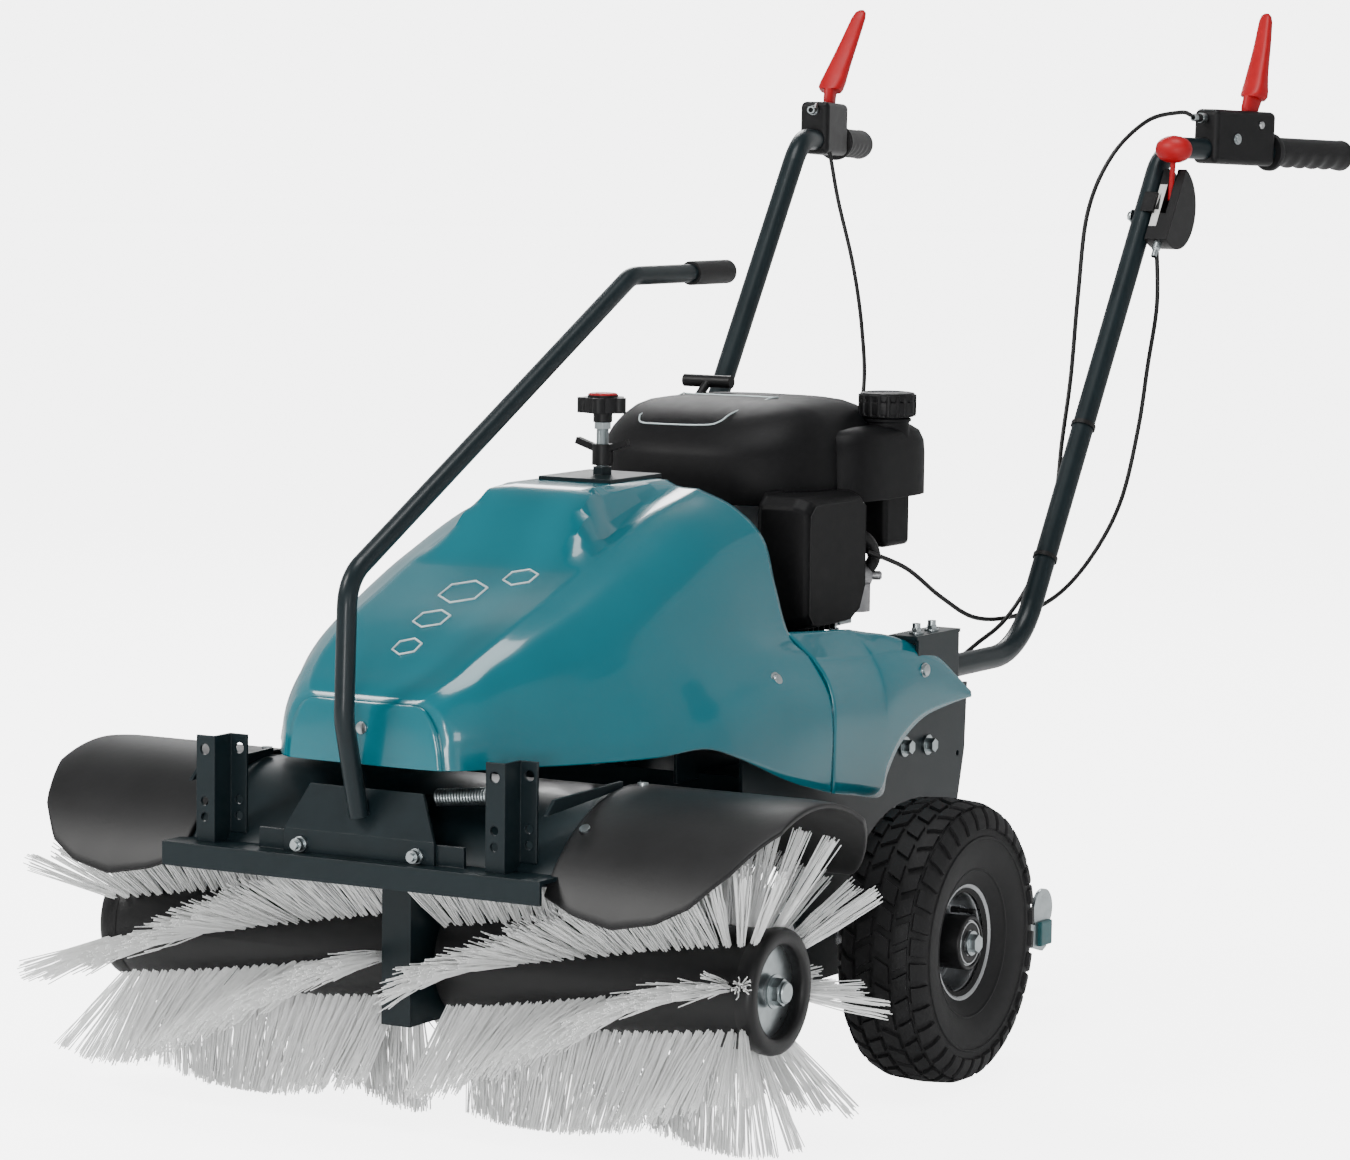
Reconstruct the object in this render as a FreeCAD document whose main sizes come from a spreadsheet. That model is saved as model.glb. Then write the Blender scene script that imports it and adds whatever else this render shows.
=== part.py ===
"""Walk behind sweeper: two driven wheels, a petrol engine and a swivelling roller brush.

Frame: millimetres, +Z up from the ground, the machine faces -Y and its left side is +X.
The origin is on the ground below the middle of the machine. Positions along Y are worked out
from the wheel axle, and each sub-part's Placement then moves it to the axle's place.
"""
import FreeCAD, Part
import Sketcher
import math
import os
import re

from FreeCAD import Placement, Rotation, Vector

doc = FreeCAD.newDocument("sweeper")
sheet = doc.addObject("Spreadsheet::Sheet", "dims")

DIMENSIONS = [
    ("axle_y", -207.0, "wheel axle from the middle of the machine"),
    ("gap", 0.05, "radial running clearance of shafts"),
    # wheels
    ("tyre_radius", 150.0, "4.00-4 pneumatic tyre"),
    ("tyre_width", 97.0, "tyre section width"),
    ("wheel_x", 332.5, "wheel centre from the middle"),
    ("rim_radius", 60.0, "rim flange"),
    ("bead_radius", 51.0, "4 inch bead seat"),
    ("hub_radius", 28.0, "hub tube"),
    ("hub_half", 38.0, "half length of the hub tube"),
    ("bearing_radius", 24.0, "wheel bearing outside radius"),
    ("axle_radius", 10.0, "axle shaft"),
    ("axle_half", 371.5, "half length of the axle shaft"),
    # brush
    ("brush_y", -437.0, "brush shaft from the axle"),
    ("brush_z", 168.0, "brush shaft above the ground"),
    ("brush_half", 383.0, "half the brush width"),
    ("brush_inner", 24.0, "inner end of each brush half"),
    ("core_radius", 60.0, "brush core"),
    ("bristle_radius", 165.0, "bristle tips"),
    ("shaft_radius", 12.5, "brush shaft"),
    # swivelling head
    ("guard_radius", 184.0, "outside of the brush cover"),
    ("guard_end", 425.0, "outer end of each rubber guard"),
    ("guard_start", 212.5, "inner end of each rubber guard"),
    ("case_half", 17.0, "half thickness of the central drive case"),
    ("case_depth", 92.0, "drive case, front and back of the brush shaft"),
    ("king_y", -140.0, "swivel axis from the axle"),
    ("king_radius", 28.0, "swivel tube"),
    ("bevel_radius", 15.6, "bevel gear blanks"),
    ("bar_half", 221.0, "half length of the front bar"),
    ("bar_front", -618.0, "front face of the front bar from the axle"),
    ("bar_top", 286.0, "top of the front bar"),
    ("upright_top", 393.0, "top of the front uprights"),
    ("upright_x", 170.0, "web of each front upright"),
    ("upright_y", -600.0, "front of the uprights from the axle"),
    # chassis
    ("plate_x", 225.0, "outer face of each side plate"),
    ("plate_thickness", 4.0, "side plates and deck"),
    ("plate_top", 387.0, "top of the side plates"),
    ("deck_back", 262.0, "rear edge of the deck from the axle"),
    ("hood_half", 262.0, "half width over the hood skirts"),
    ("rail_z", 392.0, "underside of the rails below the hood"),
    # handles
    ("handle_x", 241.0, "handle tubes from the middle"),
    ("tube_radius", 12.5, "handle tube"),
    ("handle_low", 412.0, "height of the lower run of the handle tubes"),
    # engine
    ("engine_y", 150.0, "crankshaft from the axle"),
    ("crank_radius", 11.0, "crankshaft"),
    # height adjustment
    ("plateau_z", 628.0, "flat top of the hood"),
    ("rod_radius", 6.0, "threaded adjusting rod"),
    ("knob_z", 697.0, "underside of the star knob's rim"),
    # controls
    ("grip_out", 90.2, "how far each handle end flares outwards"),
    ("grip_back", 321.4, "reach of each handle end behind its bend"),
    ("grip_drop", 12.9, "drop of each handle end"),
    ("bend_y", 724.0, "upper bend of the handles from the axle"),
    ("bend_z", 969.0, "height of the upper bend"),
    ("knee_y", 365.0, "lower bend of the handles from the axle"),
]
VALUES = {}
for row, (alias, value, note) in enumerate(DIMENSIONS, start=1):
    sheet.set("A%d" % row, alias)
    sheet.set("B%d" % row, str(value))
    sheet.set("C%d" % row, note)
    sheet.setAlias("B%d" % row, alias)
    VALUES[alias] = value
doc.recompute()

AXIS_TURN = {
    "x": Rotation(Vector(0, 1, 0), 90),
    "y": Rotation(Vector(1, 0, 0), -90),
    "z": Rotation(),
}
HALF_TURN = Rotation(Vector(0, 0, 1), 180)
NODES = []


# ---------------------------------------------------------------- binding sizes to the sheet
def spell(expression):
    """Write an expression of dimension names as one that the document understands."""
    def name_of(match):
        word = match.group(0)
        return "dims." + word if word in VALUES else word
    return re.sub(r"[a-z][a-z_]*", name_of, str(expression))


def number(expression):
    """Value of an expression of dimension names."""
    if isinstance(expression, (int, float)):
        return float(expression)
    return float(sheet.evalExpression(spell(expression)))


def bind(obj, **sizes):
    for prop, size in sizes.items():
        if isinstance(size, str):
            obj.setExpression(prop, spell(size))
        else:
            setattr(obj, prop, size)
    return obj


def put(obj, x, y, z, turn=None):
    """Place an object, with each coordinate bound to the sheet."""
    obj.Placement = Placement(Vector(number(x), number(y), number(z)), turn or Rotation())
    for letter, value in zip("xyz", (x, y, z)):
        if isinstance(value, str):
            obj.setExpression("Placement.Base." + letter, spell(value))
    return obj


def node(obj, label, x=0, y="axle_y", z=0, turn=None):
    """Name a finished sub-part and place it in the machine."""
    obj.Label = label
    NODES.append((obj, label))
    return put(obj, x, y, z, turn)


# ---------------------------------------------------------------- primitives and booleans
def box(low, size, turn=None):
    """Box from its low corner and its size along X, Y and Z."""
    obj = doc.addObject("Part::Box", "box")
    bind(obj, Length=size[0], Width=size[1], Height=size[2])
    return put(obj, *low, turn=turn)


def slab(half, y_low, y_high, z_low, z_high):
    """Box centred on X."""
    size = ("2 * (%s)" % half, "(%s) - (%s)" % (y_high, y_low), "(%s) - (%s)" % (z_high, z_low))
    return box(("-(%s)" % half, y_low, z_low), size)


def rod(radius, length, base, axis="z"):
    obj = doc.addObject("Part::Cylinder", "rod")
    bind(obj, Radius=radius, Height=length)
    return put(obj, *base, turn=AXIS_TURN[axis])


def hexagon(flats, length, base, axis="z"):
    """Hexagonal nut or bolt head, from its width across flats."""
    obj = doc.addObject("Part::Prism", "hexagon")
    bind(obj, Polygon=6, Circumradius="(%s) / cos(30)" % flats + " / 2", Height=length)
    return put(obj, *base, turn=AXIS_TURN[axis])


def fuse(*shapes):
    obj = doc.addObject("Part::MultiFuse", "fuse")
    obj.Shapes = list(shapes)
    obj.Refine = True
    return obj


def group(*shapes):
    """Separate solids that share one node."""
    obj = doc.addObject("Part::Compound", "group")
    obj.Links = list(shapes)
    return obj


def cut(base, *tools):
    obj = doc.addObject("Part::Cut", "cut")
    obj.Base = base
    obj.Tool = tools[0] if len(tools) == 1 else fuse(*tools)
    obj.Refine = True
    return obj


# ---------------------------------------------------------------- PartDesign helpers
def new_body(name):
    return doc.addObject("PartDesign::Body", name)


def new_sketch(body, plane, name):
    sketch = body.newObject("Sketcher::SketchObject", name)
    origin = [f for f in body.Origin.OriginFeatures if f.Role == plane][0]
    sketch.AttachmentSupport = [(origin, "")]
    sketch.MapMode = "FlatFace"
    return sketch


def hold(sketch, kind, geometry, point, expression):
    """Tie one coordinate of a sketch point to the sheet."""
    if abs(number(expression)) < 1e-9:
        axis = -2 if kind == "DistanceX" else -1
        sketch.addConstraint(Sketcher.Constraint("PointOnObject", geometry, point, axis))
        return
    index = sketch.addConstraint(
        Sketcher.Constraint(kind, -1, 1, geometry, point, number(expression)))
    if isinstance(expression, str):
        sketch.setExpression("Constraints[%d]" % index, spell(expression))


def draw_outline(sketch, points):
    """Closed outline of straight lines through points given as pairs of expressions."""
    corners = [Vector(number(u), number(v), 0) for u, v in points]
    first = len(sketch.Geometry)
    for i, corner in enumerate(corners):
        sketch.addGeometry(Part.LineSegment(corner, corners[(i + 1) % len(corners)]), False)
    for i in range(len(corners)):
        after = first + (i + 1) % len(corners)
        sketch.addConstraint(Sketcher.Constraint("Coincident", first + i, 2, after, 1))
    for i, (u, v) in enumerate(points):
        hold(sketch, "DistanceX", first + i, 1, u)
        hold(sketch, "DistanceY", first + i, 1, v)


def draw_circle(sketch, u, v, radius):
    centre = Vector(number(u), number(v), 0)
    index = sketch.addGeometry(Part.Circle(centre, Vector(0, 0, 1), number(radius)), False)
    hold(sketch, "DistanceX", index, 3, u)
    hold(sketch, "DistanceY", index, 3, v)
    size = sketch.addConstraint(Sketcher.Constraint("Radius", index, number(radius)))
    if isinstance(radius, str):
        sketch.setExpression("Constraints[%d]" % size, spell(radius))


def turned(name, profile):
    """Body turned about its X axis from a profile of (along, radius) points."""
    body = new_body(name)
    sketch = new_sketch(body, "XY_Plane", name + "_profile")
    draw_outline(sketch, profile)
    turning = body.newObject("PartDesign::Revolution", name + "_turning")
    turning.Profile = sketch
    turning.ReferenceAxis = (sketch, ["H_Axis"])
    turning.Angle = 360.0
    return body


def plate(name, plane, outline, thickness, holes=()):
    """Flat plate from its outline, with round holes as (u, v, radius)."""
    body = new_body(name)
    sketch = new_sketch(body, plane, name + "_outline")
    draw_outline(sketch, outline)
    for hole in holes:
        draw_circle(sketch, *hole)
    pad = body.newObject("PartDesign::Pad", name + "_pad")
    pad.Profile = sketch
    bind(pad, Length=thickness)
    return body


# ---------------------------------------------------------------- shapes set in code
def feature(name, *solids):
    obj = doc.addObject("Part::Feature", name)
    obj.Shape = Part.makeCompound(list(solids))
    return obj


def bent_path(points, radii):
    """Wire through the points with round bends of the given radii."""
    edges = []
    start = points[0]
    for i in range(1, len(points) - 1):
        corner = points[i]
        back = (points[i - 1] - corner).normalize()
        ahead = (points[i + 1] - corner).normalize()
        half_angle = back.getAngle(ahead) / 2
        reach = radii[i - 1] / math.tan(half_angle)
        enter = corner + back * reach
        leave = corner + ahead * reach
        middle = (back + ahead).normalize()
        centre = corner + middle * (radii[i - 1] / math.sin(half_angle))
        edges.append(Part.LineSegment(start, enter).toShape())
        edges.append(Part.Arc(enter, centre - middle * radii[i - 1], leave).toShape())
        start = leave
    edges.append(Part.LineSegment(start, points[-1]).toShape())
    return Part.Wire(edges)


def tube_along(path, outer, inner=None):
    """Round bar along a wire, or a tube if it has an inner radius."""
    def sweep(radius):
        start = path.Edges[0].valueAt(path.Edges[0].FirstParameter)
        along = path.Edges[0].tangentAt(path.Edges[0].FirstParameter)
        ring = Part.Wire(Part.makeCircle(radius, start, along))
        return path.makePipeShell([ring], True, True)
    solid = sweep(outer)
    return solid.cut(sweep(inner)) if inner else solid


def arc_sheet(outer, inner, x_low, x_high, start_angle, end_angle):
    """Curved sheet about the brush shaft; angles are degrees up from straight ahead."""
    def ring(radius):
        return Part.makeCylinder(radius, x_high - x_low, Vector(x_low, 0, 0), Vector(1, 0, 0))
    reach = 3 * outer
    angles = [math.radians(start_angle + (end_angle - start_angle) * i / 4) for i in range(5)]
    corners = [Vector(x_low, 0, 0)]
    corners += [Vector(x_low, -reach * math.cos(a), reach * math.sin(a)) for a in angles]
    wedge = Part.Face(Part.makePolygon(corners + corners[:1]))
    return ring(outer).cut(ring(inner)).common(wedge.extrude(Vector(x_high - x_low, 0, 0)))


# ---------------------------------------------------------------- chassis
def make_side_plates():
    outline = [(-232, 300), (-232, "plate_top"), (272, "plate_top"), (268, 313), (212, 105),
               (-75, 105), (-150, 235)]
    holes = [(0, "tyre_radius", 27), (124, 331.5, 5.2), (178, 327.5, 5.2), (251, 310, 3.2),
             (200, 128, 6.1)]
    plates = [put(plate("side_plate", "YZ_Plane", outline, "plate_thickness", holes), x, 0, 0)
              for x in ("plate_x - plate_thickness", "-plate_x")]
    node(group(*plates), "side_plates")


def make_deck():
    """Welded deck: engine plate, cross beams, swivel sleeve and the nose bar of the hood."""
    inside = "plate_x - plate_thickness"
    deck = slab(inside, -66, "deck_back", "plate_top - plate_thickness", "plate_top")
    back_lip = slab(inside, "deck_back - 4", "deck_back", 330, "plate_top - 2")
    lip_size = ("plate_x - plate_thickness - 60", 4, "plate_top - 342")
    front_lips = [box((x, -66, 340), lip_size) for x in (60, "plate_thickness - plate_x")]
    beam = slab(inside, -192, -88, 292, 334)
    nose_bar = slab(32, -568, -470, "rail_z", "rail_z + 6")
    nose_tab = slab(22, -572, -568, "rail_z", 432)
    rails = [box((x, -568, "rail_z"), (12, 400, 8)) for x in (-60, 48)]
    posts = [box((x, -186, 334), (12, 18, "rail_z - 334")) for x in (-60, 48)]
    cross = slab(60, -500, -470, "rail_z", "rail_z + 8")
    sleeve = rod("king_radius + 7", 62, (0, "king_y", 284))
    solid = fuse(deck, back_lip, beam, nose_bar, nose_tab, cross, sleeve,
                 *front_lips, *rails, *posts)
    bore = rod("king_radius + gap", 200, (0, "king_y", 200))
    engine_hole = rod(58, 40, (0, "engine_y", 370))
    shaft_hole = rod(16, 40, (0, 0, 370))
    screw_hole = rod(4.2, 30, (0, -590, 414), "y")
    node(cut(solid, bore, engine_hole, shaft_hole, screw_hole), "deck_frame")


def make_handle_brackets():
    """Folded brackets that hold the lower ends of the handle tubes."""
    def bracket(side):
        outer = box(("plate_x", 92, 376), (32, 95, 76))
        inner = box(("plate_x + 3.5", 88, 379.5), (25, 103, 69))
        cap = box(("plate_x - 3", 89, 452), (35, 101, 4))
        shell = fuse(cut(outer, inner), cap)
        bolts = [rod(3.6, 20, ("handle_x", y, 440)) for y in (117, 153)]
        drilled = cut(shell, *bolts)
        if side < 0:
            mirrored = doc.addObject("Part::Mirroring", "mirrored")
            mirrored.Source = drilled
            mirrored.Normal = (1, 0, 0)
            return mirrored
        return drilled
    node(group(bracket(1), bracket(-1)), "handle_brackets")


def flange_bolt(base, side):
    """Flanged bolt through a side plate, with its nut on the inside."""
    x, y, z = base
    washer = rod(11, 2, (0, 0, 0))
    head = hexagon(13, 8, (0, 0, 2))
    shank = rod(5, 14, (0, 0, -14))
    nut = hexagon(16, 7, (0, 0, "-plate_thickness - 7"))
    turn = AXIS_TURN["x"] if side > 0 else AXIS_TURN["x"].inverted()
    return put(fuse(washer, head, shank, nut), x if side > 0 else "-(%s)" % x, y, z, turn)


def make_frame_bolts():
    solids = []
    for side in (1, -1):
        for y, z in ((124, 331.5), (178, 327.5)):
            solids.append(flange_bolt(("plate_x", y, z), side))
        x = "handle_x" if side > 0 else "-handle_x"
        for y in (117, 153):
            solids.append(fuse(rod(3.5, 18, (x, y, 441)), rod(8, 1.6, (x, y, 456)),
                               hexagon(10, 5, (x, y, 457)), rod(4.5, 9, (x, y, 458))))
        pin_x = "plate_x - 18" if side > 0 else "-plate_x - 4"
        solids.append(rod(6, 22, (pin_x, 200, 128), "x"))
        x = "hood_half" if side > 0 else "-hood_half - 4"
        solids.append(rod(6.5, 4, (x, 96, 420), "x"))
    solids.append(fuse(rod(8, 3, (0, -586, 414), "y"), rod(4, 16, (0, -583, 414), "y")))
    node(group(*solids), "frame_bolts")


def make_axle_bearings():
    def unit(x, turn):
        profile = [(0, "axle_radius + gap"), (0, 26), (-4, 26), (-4, 34), (-9, 34), (-9, 26),
                   (-16, 26), (-16, "axle_radius + gap")]
        body = turned("axle_bearing", profile)
        return put(body, x, 0, "tyre_radius", turn)
    node(group(unit("plate_x", Rotation()), unit("-plate_x", HALF_TURN)), "axle_bearings")


def make_transaxle():
    hangers = [box((x, -12, "tyre_radius"), (5, 24, "plate_top - plate_thickness - tyre_radius"))
               for x in (-63, 58)]
    case = fuse(rod(44, 104, (-52, 0, "tyre_radius"), "x"), rod(26, 60, (0, 0, 180)),
                rod(20, 130, (-65, 0, "tyre_radius"), "x"), *hangers)
    axle_bore = rod("axle_radius + gap", 140, (-70, 0, "tyre_radius"), "x")
    input_bore = rod(8.05, 50, (0, 0, 200))
    node(cut(case, axle_bore, input_bore), "transaxle_case")


# ---------------------------------------------------------------- wheels and axle
def make_tyre(label, side):
    half = "tyre_width / 2"
    out = [("-27", "bead_radius"), ("-27", "rim_radius + 1"), ("-(%s) + 3" % half, 86),
           ("-(%s)" % half, 110), ("-(%s) + 3" % half, 134), ("-(%s) + 14" % half, "tyre_radius - 4"),
           (0, "tyre_radius"), ("%s - 14" % half, "tyre_radius - 4"), ("%s - 3" % half, 134),
           (half, 110), ("%s - 3" % half, 86), ("27", "rim_radius + 1"), ("27", "bead_radius")]
    cavity = [("20", "bead_radius"), ("20", 64), ("%s - 11" % half, 88), ("%s - 8" % half, 110),
              ("%s - 12" % half, 131), ("%s - 20" % half, 138), ("-(%s) + 20" % half, 138),
              ("-(%s) + 12" % half, 131), ("-(%s) + 8" % half, 110), ("-(%s) + 11" % half, 88),
              ("-20", 64), ("-20", "bead_radius")]
    body = turned("tyre", out + cavity)
    place_wheel_piece(body, label, side)


def place_wheel_piece(obj, label, side):
    x = "wheel_x" if side > 0 else "-wheel_x"
    turn = Rotation() if side > 0 else HALF_TURN
    node(obj, label, x=x, z="tyre_radius", turn=turn)


def make_rim(label, side):
    """Pressed rim: barrel with two flanges, a dished disc and the hub tube."""
    profile = [("-hub_half", "bearing_radius"), ("-hub_half", "hub_radius"), (2, "hub_radius"),
               (-4, 38), (-8, "bead_radius - 2.5"), (-29.5, "bead_radius - 2.5"),
               (-29.5, "rim_radius"), (-27, "rim_radius"), (-27, "bead_radius"),
               (27, "bead_radius"), (27, "rim_radius"), (29.5, "rim_radius"),
               (29.5, "bead_radius - 2.5"), (-5.5, "bead_radius - 2.5"), (-1.5, 39),
               (5, "hub_radius"), ("hub_half", "hub_radius"), ("hub_half", "bearing_radius")]
    place_wheel_piece(turned("rim", profile), label, side)


def make_wheel_bearings(label, side):
    def ring(low, high):
        return turned("wheel_bearing", [(low, "axle_radius + gap"), (low, "bearing_radius"),
                                        (high, "bearing_radius"), (high, "axle_radius + gap")])
    outer = ring("hub_half - 13", "hub_half - 1")
    inner = ring("1 - hub_half", "13 - hub_half")
    place_wheel_piece(group(outer, inner), label, side)


def make_axle():
    bar = rod("axle_radius", "2 * axle_half", ("-axle_half", 0, 0), "x")
    tapped = [rod(5, 30, ("axle_half - 30", 0, 0), "x"), rod(5, 30, ("-axle_half", 0, 0), "x")]
    node(cut(bar, *tapped), "axle_shaft", z="tyre_radius")


def make_axle_bolts():
    right = fuse(rod(4.9, 29, ("axle_half - 28", 0, 0), "x"), rod(13, 2.5, ("axle_half", 0, 0), "x"),
                 hexagon(17, 7, ("axle_half + 2.5", 0, 0), "x"))
    left = fuse(rod(4.9, 29, ("-axle_half - 1", 0, 0), "x"),
                rod(13, 2.5, ("-axle_half - 2.5", 0, 0), "x"),
                hexagon(17, 7, ("-axle_half - 9.5", 0, 0), "x"))
    node(group(right, left), "axle_bolts", z="tyre_radius")


# ---------------------------------------------------------------- engine and belt drive
def rounded_block(length, width, low, high, exponent, y, x=0, taper=1.0):
    """Upright block whose plan is a superellipse."""
    def ring(z, scale):
        points = []
        for i in range(48):
            a = 2 * math.pi * i / 48
            c, s = math.cos(a), math.sin(a)
            u = math.copysign(abs(c) ** (2 / exponent), c) * width / 2 * scale
            v = math.copysign(abs(s) ** (2 / exponent), s) * length / 2 * scale
            points.append(Vector(x + u, y + v, z))
        curve = Part.BSplineCurve()
        curve.interpolate(points, PeriodicFlag=True)
        return Part.Wire(curve.toShape())
    return Part.makeLoft([ring(low, 1.0), ring(high, taper)], True, True)


SHROUD_LENGTH = 290.0
SHROUD_WIDTH = 280.0
SHROUD_BEHIND = 15.0
SHROUD_CEILING = 666.0
RECOIL_AT = Vector(-70, 205, 709)
RECOIL_PULL = Vector(0, 0.8, 0.6)


def shroud_block(low, high, scale=1.0, taper=1.0, grow=0.0):
    """Block with the plan of the engine shroud."""
    return rounded_block(SHROUD_LENGTH * scale + grow, SHROUD_WIDTH * scale + grow, low, high, 3.0,
                         VALUES["engine_y"] + SHROUD_BEHIND, taper=taper)


def make_engine_block():
    y = VALUES["engine_y"]
    top = VALUES["plate_top"]
    crankcase = Part.makeCylinder(88, 74, Vector(0, y, top))
    cylinder = Part.makeCylinder(52, 125, Vector(-20, y, 505), Vector(1, 0, 0))
    column = rounded_block(150, 170, top + 60, 588, 4, y)
    flywheel_cone = Part.makeCylinder(62, SHROUD_CEILING - 580, Vector(0, y, 580))
    head = Part.makeBox(11, 120, 110, Vector(101, y - 60, 450))
    block = crankcase.fuse([cylinder, column, flywheel_cone, head])
    fins = [Part.makeBox(2, 128, 118, Vector(90 + 5 * i, y - 64, 446)) for i in range(2)]
    block = block.fuse(fins)
    bore = Part.makeCylinder(VALUES["crank_radius"] + VALUES["gap"], 60, Vector(0, y, top - 1))
    node(feature("engine_block", block.cut(bore).removeSplitter()), "engine_block")


def make_engine_shroud():
    """Domed fan cover with a hollow underside and the bush of the starter cord."""
    skirt = shroud_block(598, 640)
    dome = shroud_block(640, 684, taper=0.74)
    crown = shroud_block(684, 697, scale=0.74, taper=0.62)
    hollow = shroud_block(597, SHROUD_CEILING, taper=0.8, grow=-10)
    bush = Part.makeCylinder(11, 24, RECOIL_AT - RECOIL_PULL * 36, RECOIL_PULL)
    bush_bore = Part.makeCylinder(5.1, 18, RECOIL_AT - RECOIL_PULL * 29, RECOIL_PULL)
    shell = skirt.fuse([dome, crown, bush]).cut([hollow, bush_bore]).removeSplitter()
    node(feature("engine_shroud", shell), "engine_shroud")


def make_fuel_tank():
    """Tank beside the shroud's left rear corner, with the filler neck on top."""
    space = shroud_block(590, 720, grow=1)
    corner = Part.makeBox(64, 124, 70, Vector(96, 174, 596))
    corner = corner.makeFillet(15, [e for e in corner.Edges if abs(e.tangentAt(0).z) > 0.9])
    neck = Part.makeCylinder(23, 43, Vector(139, 236, 645))
    lower = Part.makeBox(34, 64, 56, Vector(122, 226, 541))
    tank = corner.fuse(neck).cut(space).fuse(lower)
    tank = max(tank.removeSplitter().Solids, key=lambda solid: solid.Volume)
    node(feature("fuel_tank", tank), "fuel_tank")


def make_fuel_cap():
    """Screw cap with a row of finger ribs."""
    cap = rod(29, 22, (0, 0, 0))
    ribs = [rod(3.2, 20, (round(28.5 * math.cos(a), 3), round(28.5 * math.sin(a), 3), 1))
            for a in (math.pi * i / 9 for i in range(18))]
    hollow = rod(26, 12, (0, 0, -1))
    node(cut(fuse(cap, *ribs), hollow), "fuel_cap", x=139, y="axle_y + 236", z=678)


def make_air_filter():
    """Air filter box on the engine's left side, with sloped edges."""
    block = Part.makeBox(52, 164, 150, Vector(118, -24, 462))
    outside = [e for e in block.Edges if min(v.Point.x for v in e.Vertexes) > 165]
    block = block.makeChamfer(14, outside).cut(shroud_block(590, 720, grow=1))
    node(feature("air_filter", block), "air_filter_cover")


def make_carburettor():
    """Carburettor between the cylinder head and the air filter box."""
    throat = rod(15, 34, (142, 140, 507), "y")
    bowl = rod(17, 30, (142, 161, 470))
    bridge = box((112, 150, 496), (24, 20, 20))
    node(fuse(throat, bridge, bowl), "carburettor")


def make_muffler():
    """Silencer box on the right side, with its pipe to the cylinder."""
    can = Part.makeBox(58, 150, 96, Vector(-196, 82, 470))
    can = can.makeFillet(14, can.Edges)
    pipe = Part.makeCylinder(15, 64.6, Vector(-150, 150, 520), Vector(1, 0, 0))
    node(feature("muffler", can.fuse(pipe).removeSplitter()), "muffler")


def make_recoil_handle():
    """T-shaped pull grip of the recoil starter."""
    bar = Part.makeCylinder(7, 60, RECOIL_AT - Vector(30, 0, 0), Vector(1, 0, 0))
    leg = Part.makeCylinder(5, 26, RECOIL_AT - RECOIL_PULL * 26, RECOIL_PULL)
    node(feature("recoil", bar.fuse(leg).removeSplitter()), "recoil_handle")


def v_pulley(name, radius, thickness, hub, bore):
    """Pulley with one V groove, turned about its own X axis."""
    groove = 8
    profile = [(0, bore), (0, radius), (2, radius), ("%s / 2 - 1" % thickness, radius - groove),
               ("%s / 2 + 1" % thickness, radius - groove), (thickness - 2, radius),
               (thickness, radius), (thickness, hub), (thickness + 4, hub), (thickness + 4, bore)]
    return turned(name, profile)


UPRIGHT = Rotation(Vector(0, 1, 0), -90)


def make_crankshaft():
    """Engine shaft below the deck with its two belt pulleys."""
    shaft = rod("crank_radius", 110, (0, 0, 325))
    low = put(v_pulley("low_pulley", 36, 16, 20, 10.9), 0, 0, 330, UPRIGHT)
    high = put(v_pulley("high_pulley", 36, 16, 20, 10.9), 0, 0, 359, UPRIGHT)
    node(fuse(shaft, low, high), "crankshaft", y="axle_y + engine_y")


def make_gearbox_input():
    shaft = rod(8, 148, (0, 0, 206))
    pulley = put(v_pulley("gearbox_pulley", 56, 16, 20, 7.9), 0, 0, 330, UPRIGHT)
    node(fuse(shaft, pulley), "gearbox_input")


def make_brush_pulley():
    pulley = v_pulley("brush_pulley", 44, 16, 22, 12.05)
    node(pulley, "brush_pulley", y="axle_y + king_y", z=359, turn=UPRIGHT)


def belt_loop(y_one, radius_one, y_two, radius_two, z):
    """Closed V belt round two pulleys on the centre plane."""
    def outline(grow):
        one, two = radius_one + grow, radius_two + grow
        span = y_two - y_one
        lean = math.asin((one - two) / span)
        points = [Vector(side * r * math.cos(lean), y + r * math.sin(lean), z)
                  for y, r, side in ((y_one, one, 1), (y_two, two, 1), (y_two, two, -1),
                                     (y_one, one, -1))]
        far = Part.Arc(points[1], Vector(0, y_two + two, z), points[2]).toShape()
        near = Part.Arc(points[3], Vector(0, y_one - one, z), points[0]).toShape()
        sides = [Part.makeLine(points[0], points[1]), Part.makeLine(points[2], points[3])]
        return Part.Face(Part.Wire([sides[0], far, sides[1], near]))
    depth = 6
    return outline(depth).extrude(Vector(0, 0, 5)).cut(outline(0).extrude(Vector(0, 0, 5)))


def make_belts():
    y = VALUES["engine_y"]
    traction = belt_loop(0, 50.5, y, 30.5, 335.5)
    brush = belt_loop(VALUES["king_y"], 38.5, y, 30.5, 364.5)
    node(feature("belts", traction, brush), "drive_belts")


# ---------------------------------------------------------------- handles and controls
def handle_points(side):
    x = side * VALUES["handle_x"]
    bend = Vector(x, VALUES["bend_y"], VALUES["bend_z"])
    reach = Vector(side * VALUES["grip_out"], VALUES["grip_back"], -VALUES["grip_drop"])
    low = VALUES["handle_low"]
    return [Vector(x, 96, low), Vector(x, VALUES["knee_y"], low), bend, bend + reach]


def along_grip(side, distance):
    """Point on the handle's axis at a distance behind its upper bend."""
    bend, end = handle_points(side)[2:]
    return bend + (end - bend).normalize() * distance


def grip_frame(side, distance):
    """Placement whose X runs back along the grip and whose Z is up."""
    bend, end = handle_points(side)[2:]
    ahead = (end - bend).normalize()
    turn = Rotation(ahead, Vector(0, 0, 0), Vector(0, 0, 1), "XZY")
    return Placement(along_grip(side, distance), turn)


def make_handle_tubes():
    radius = VALUES["tube_radius"]
    tubes = [tube_along(bent_path(handle_points(side), [110, 60]), radius, radius - 2)
             for side in (1, -1)]
    node(feature("handle_tubes", *tubes), "handle_tubes")


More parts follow.
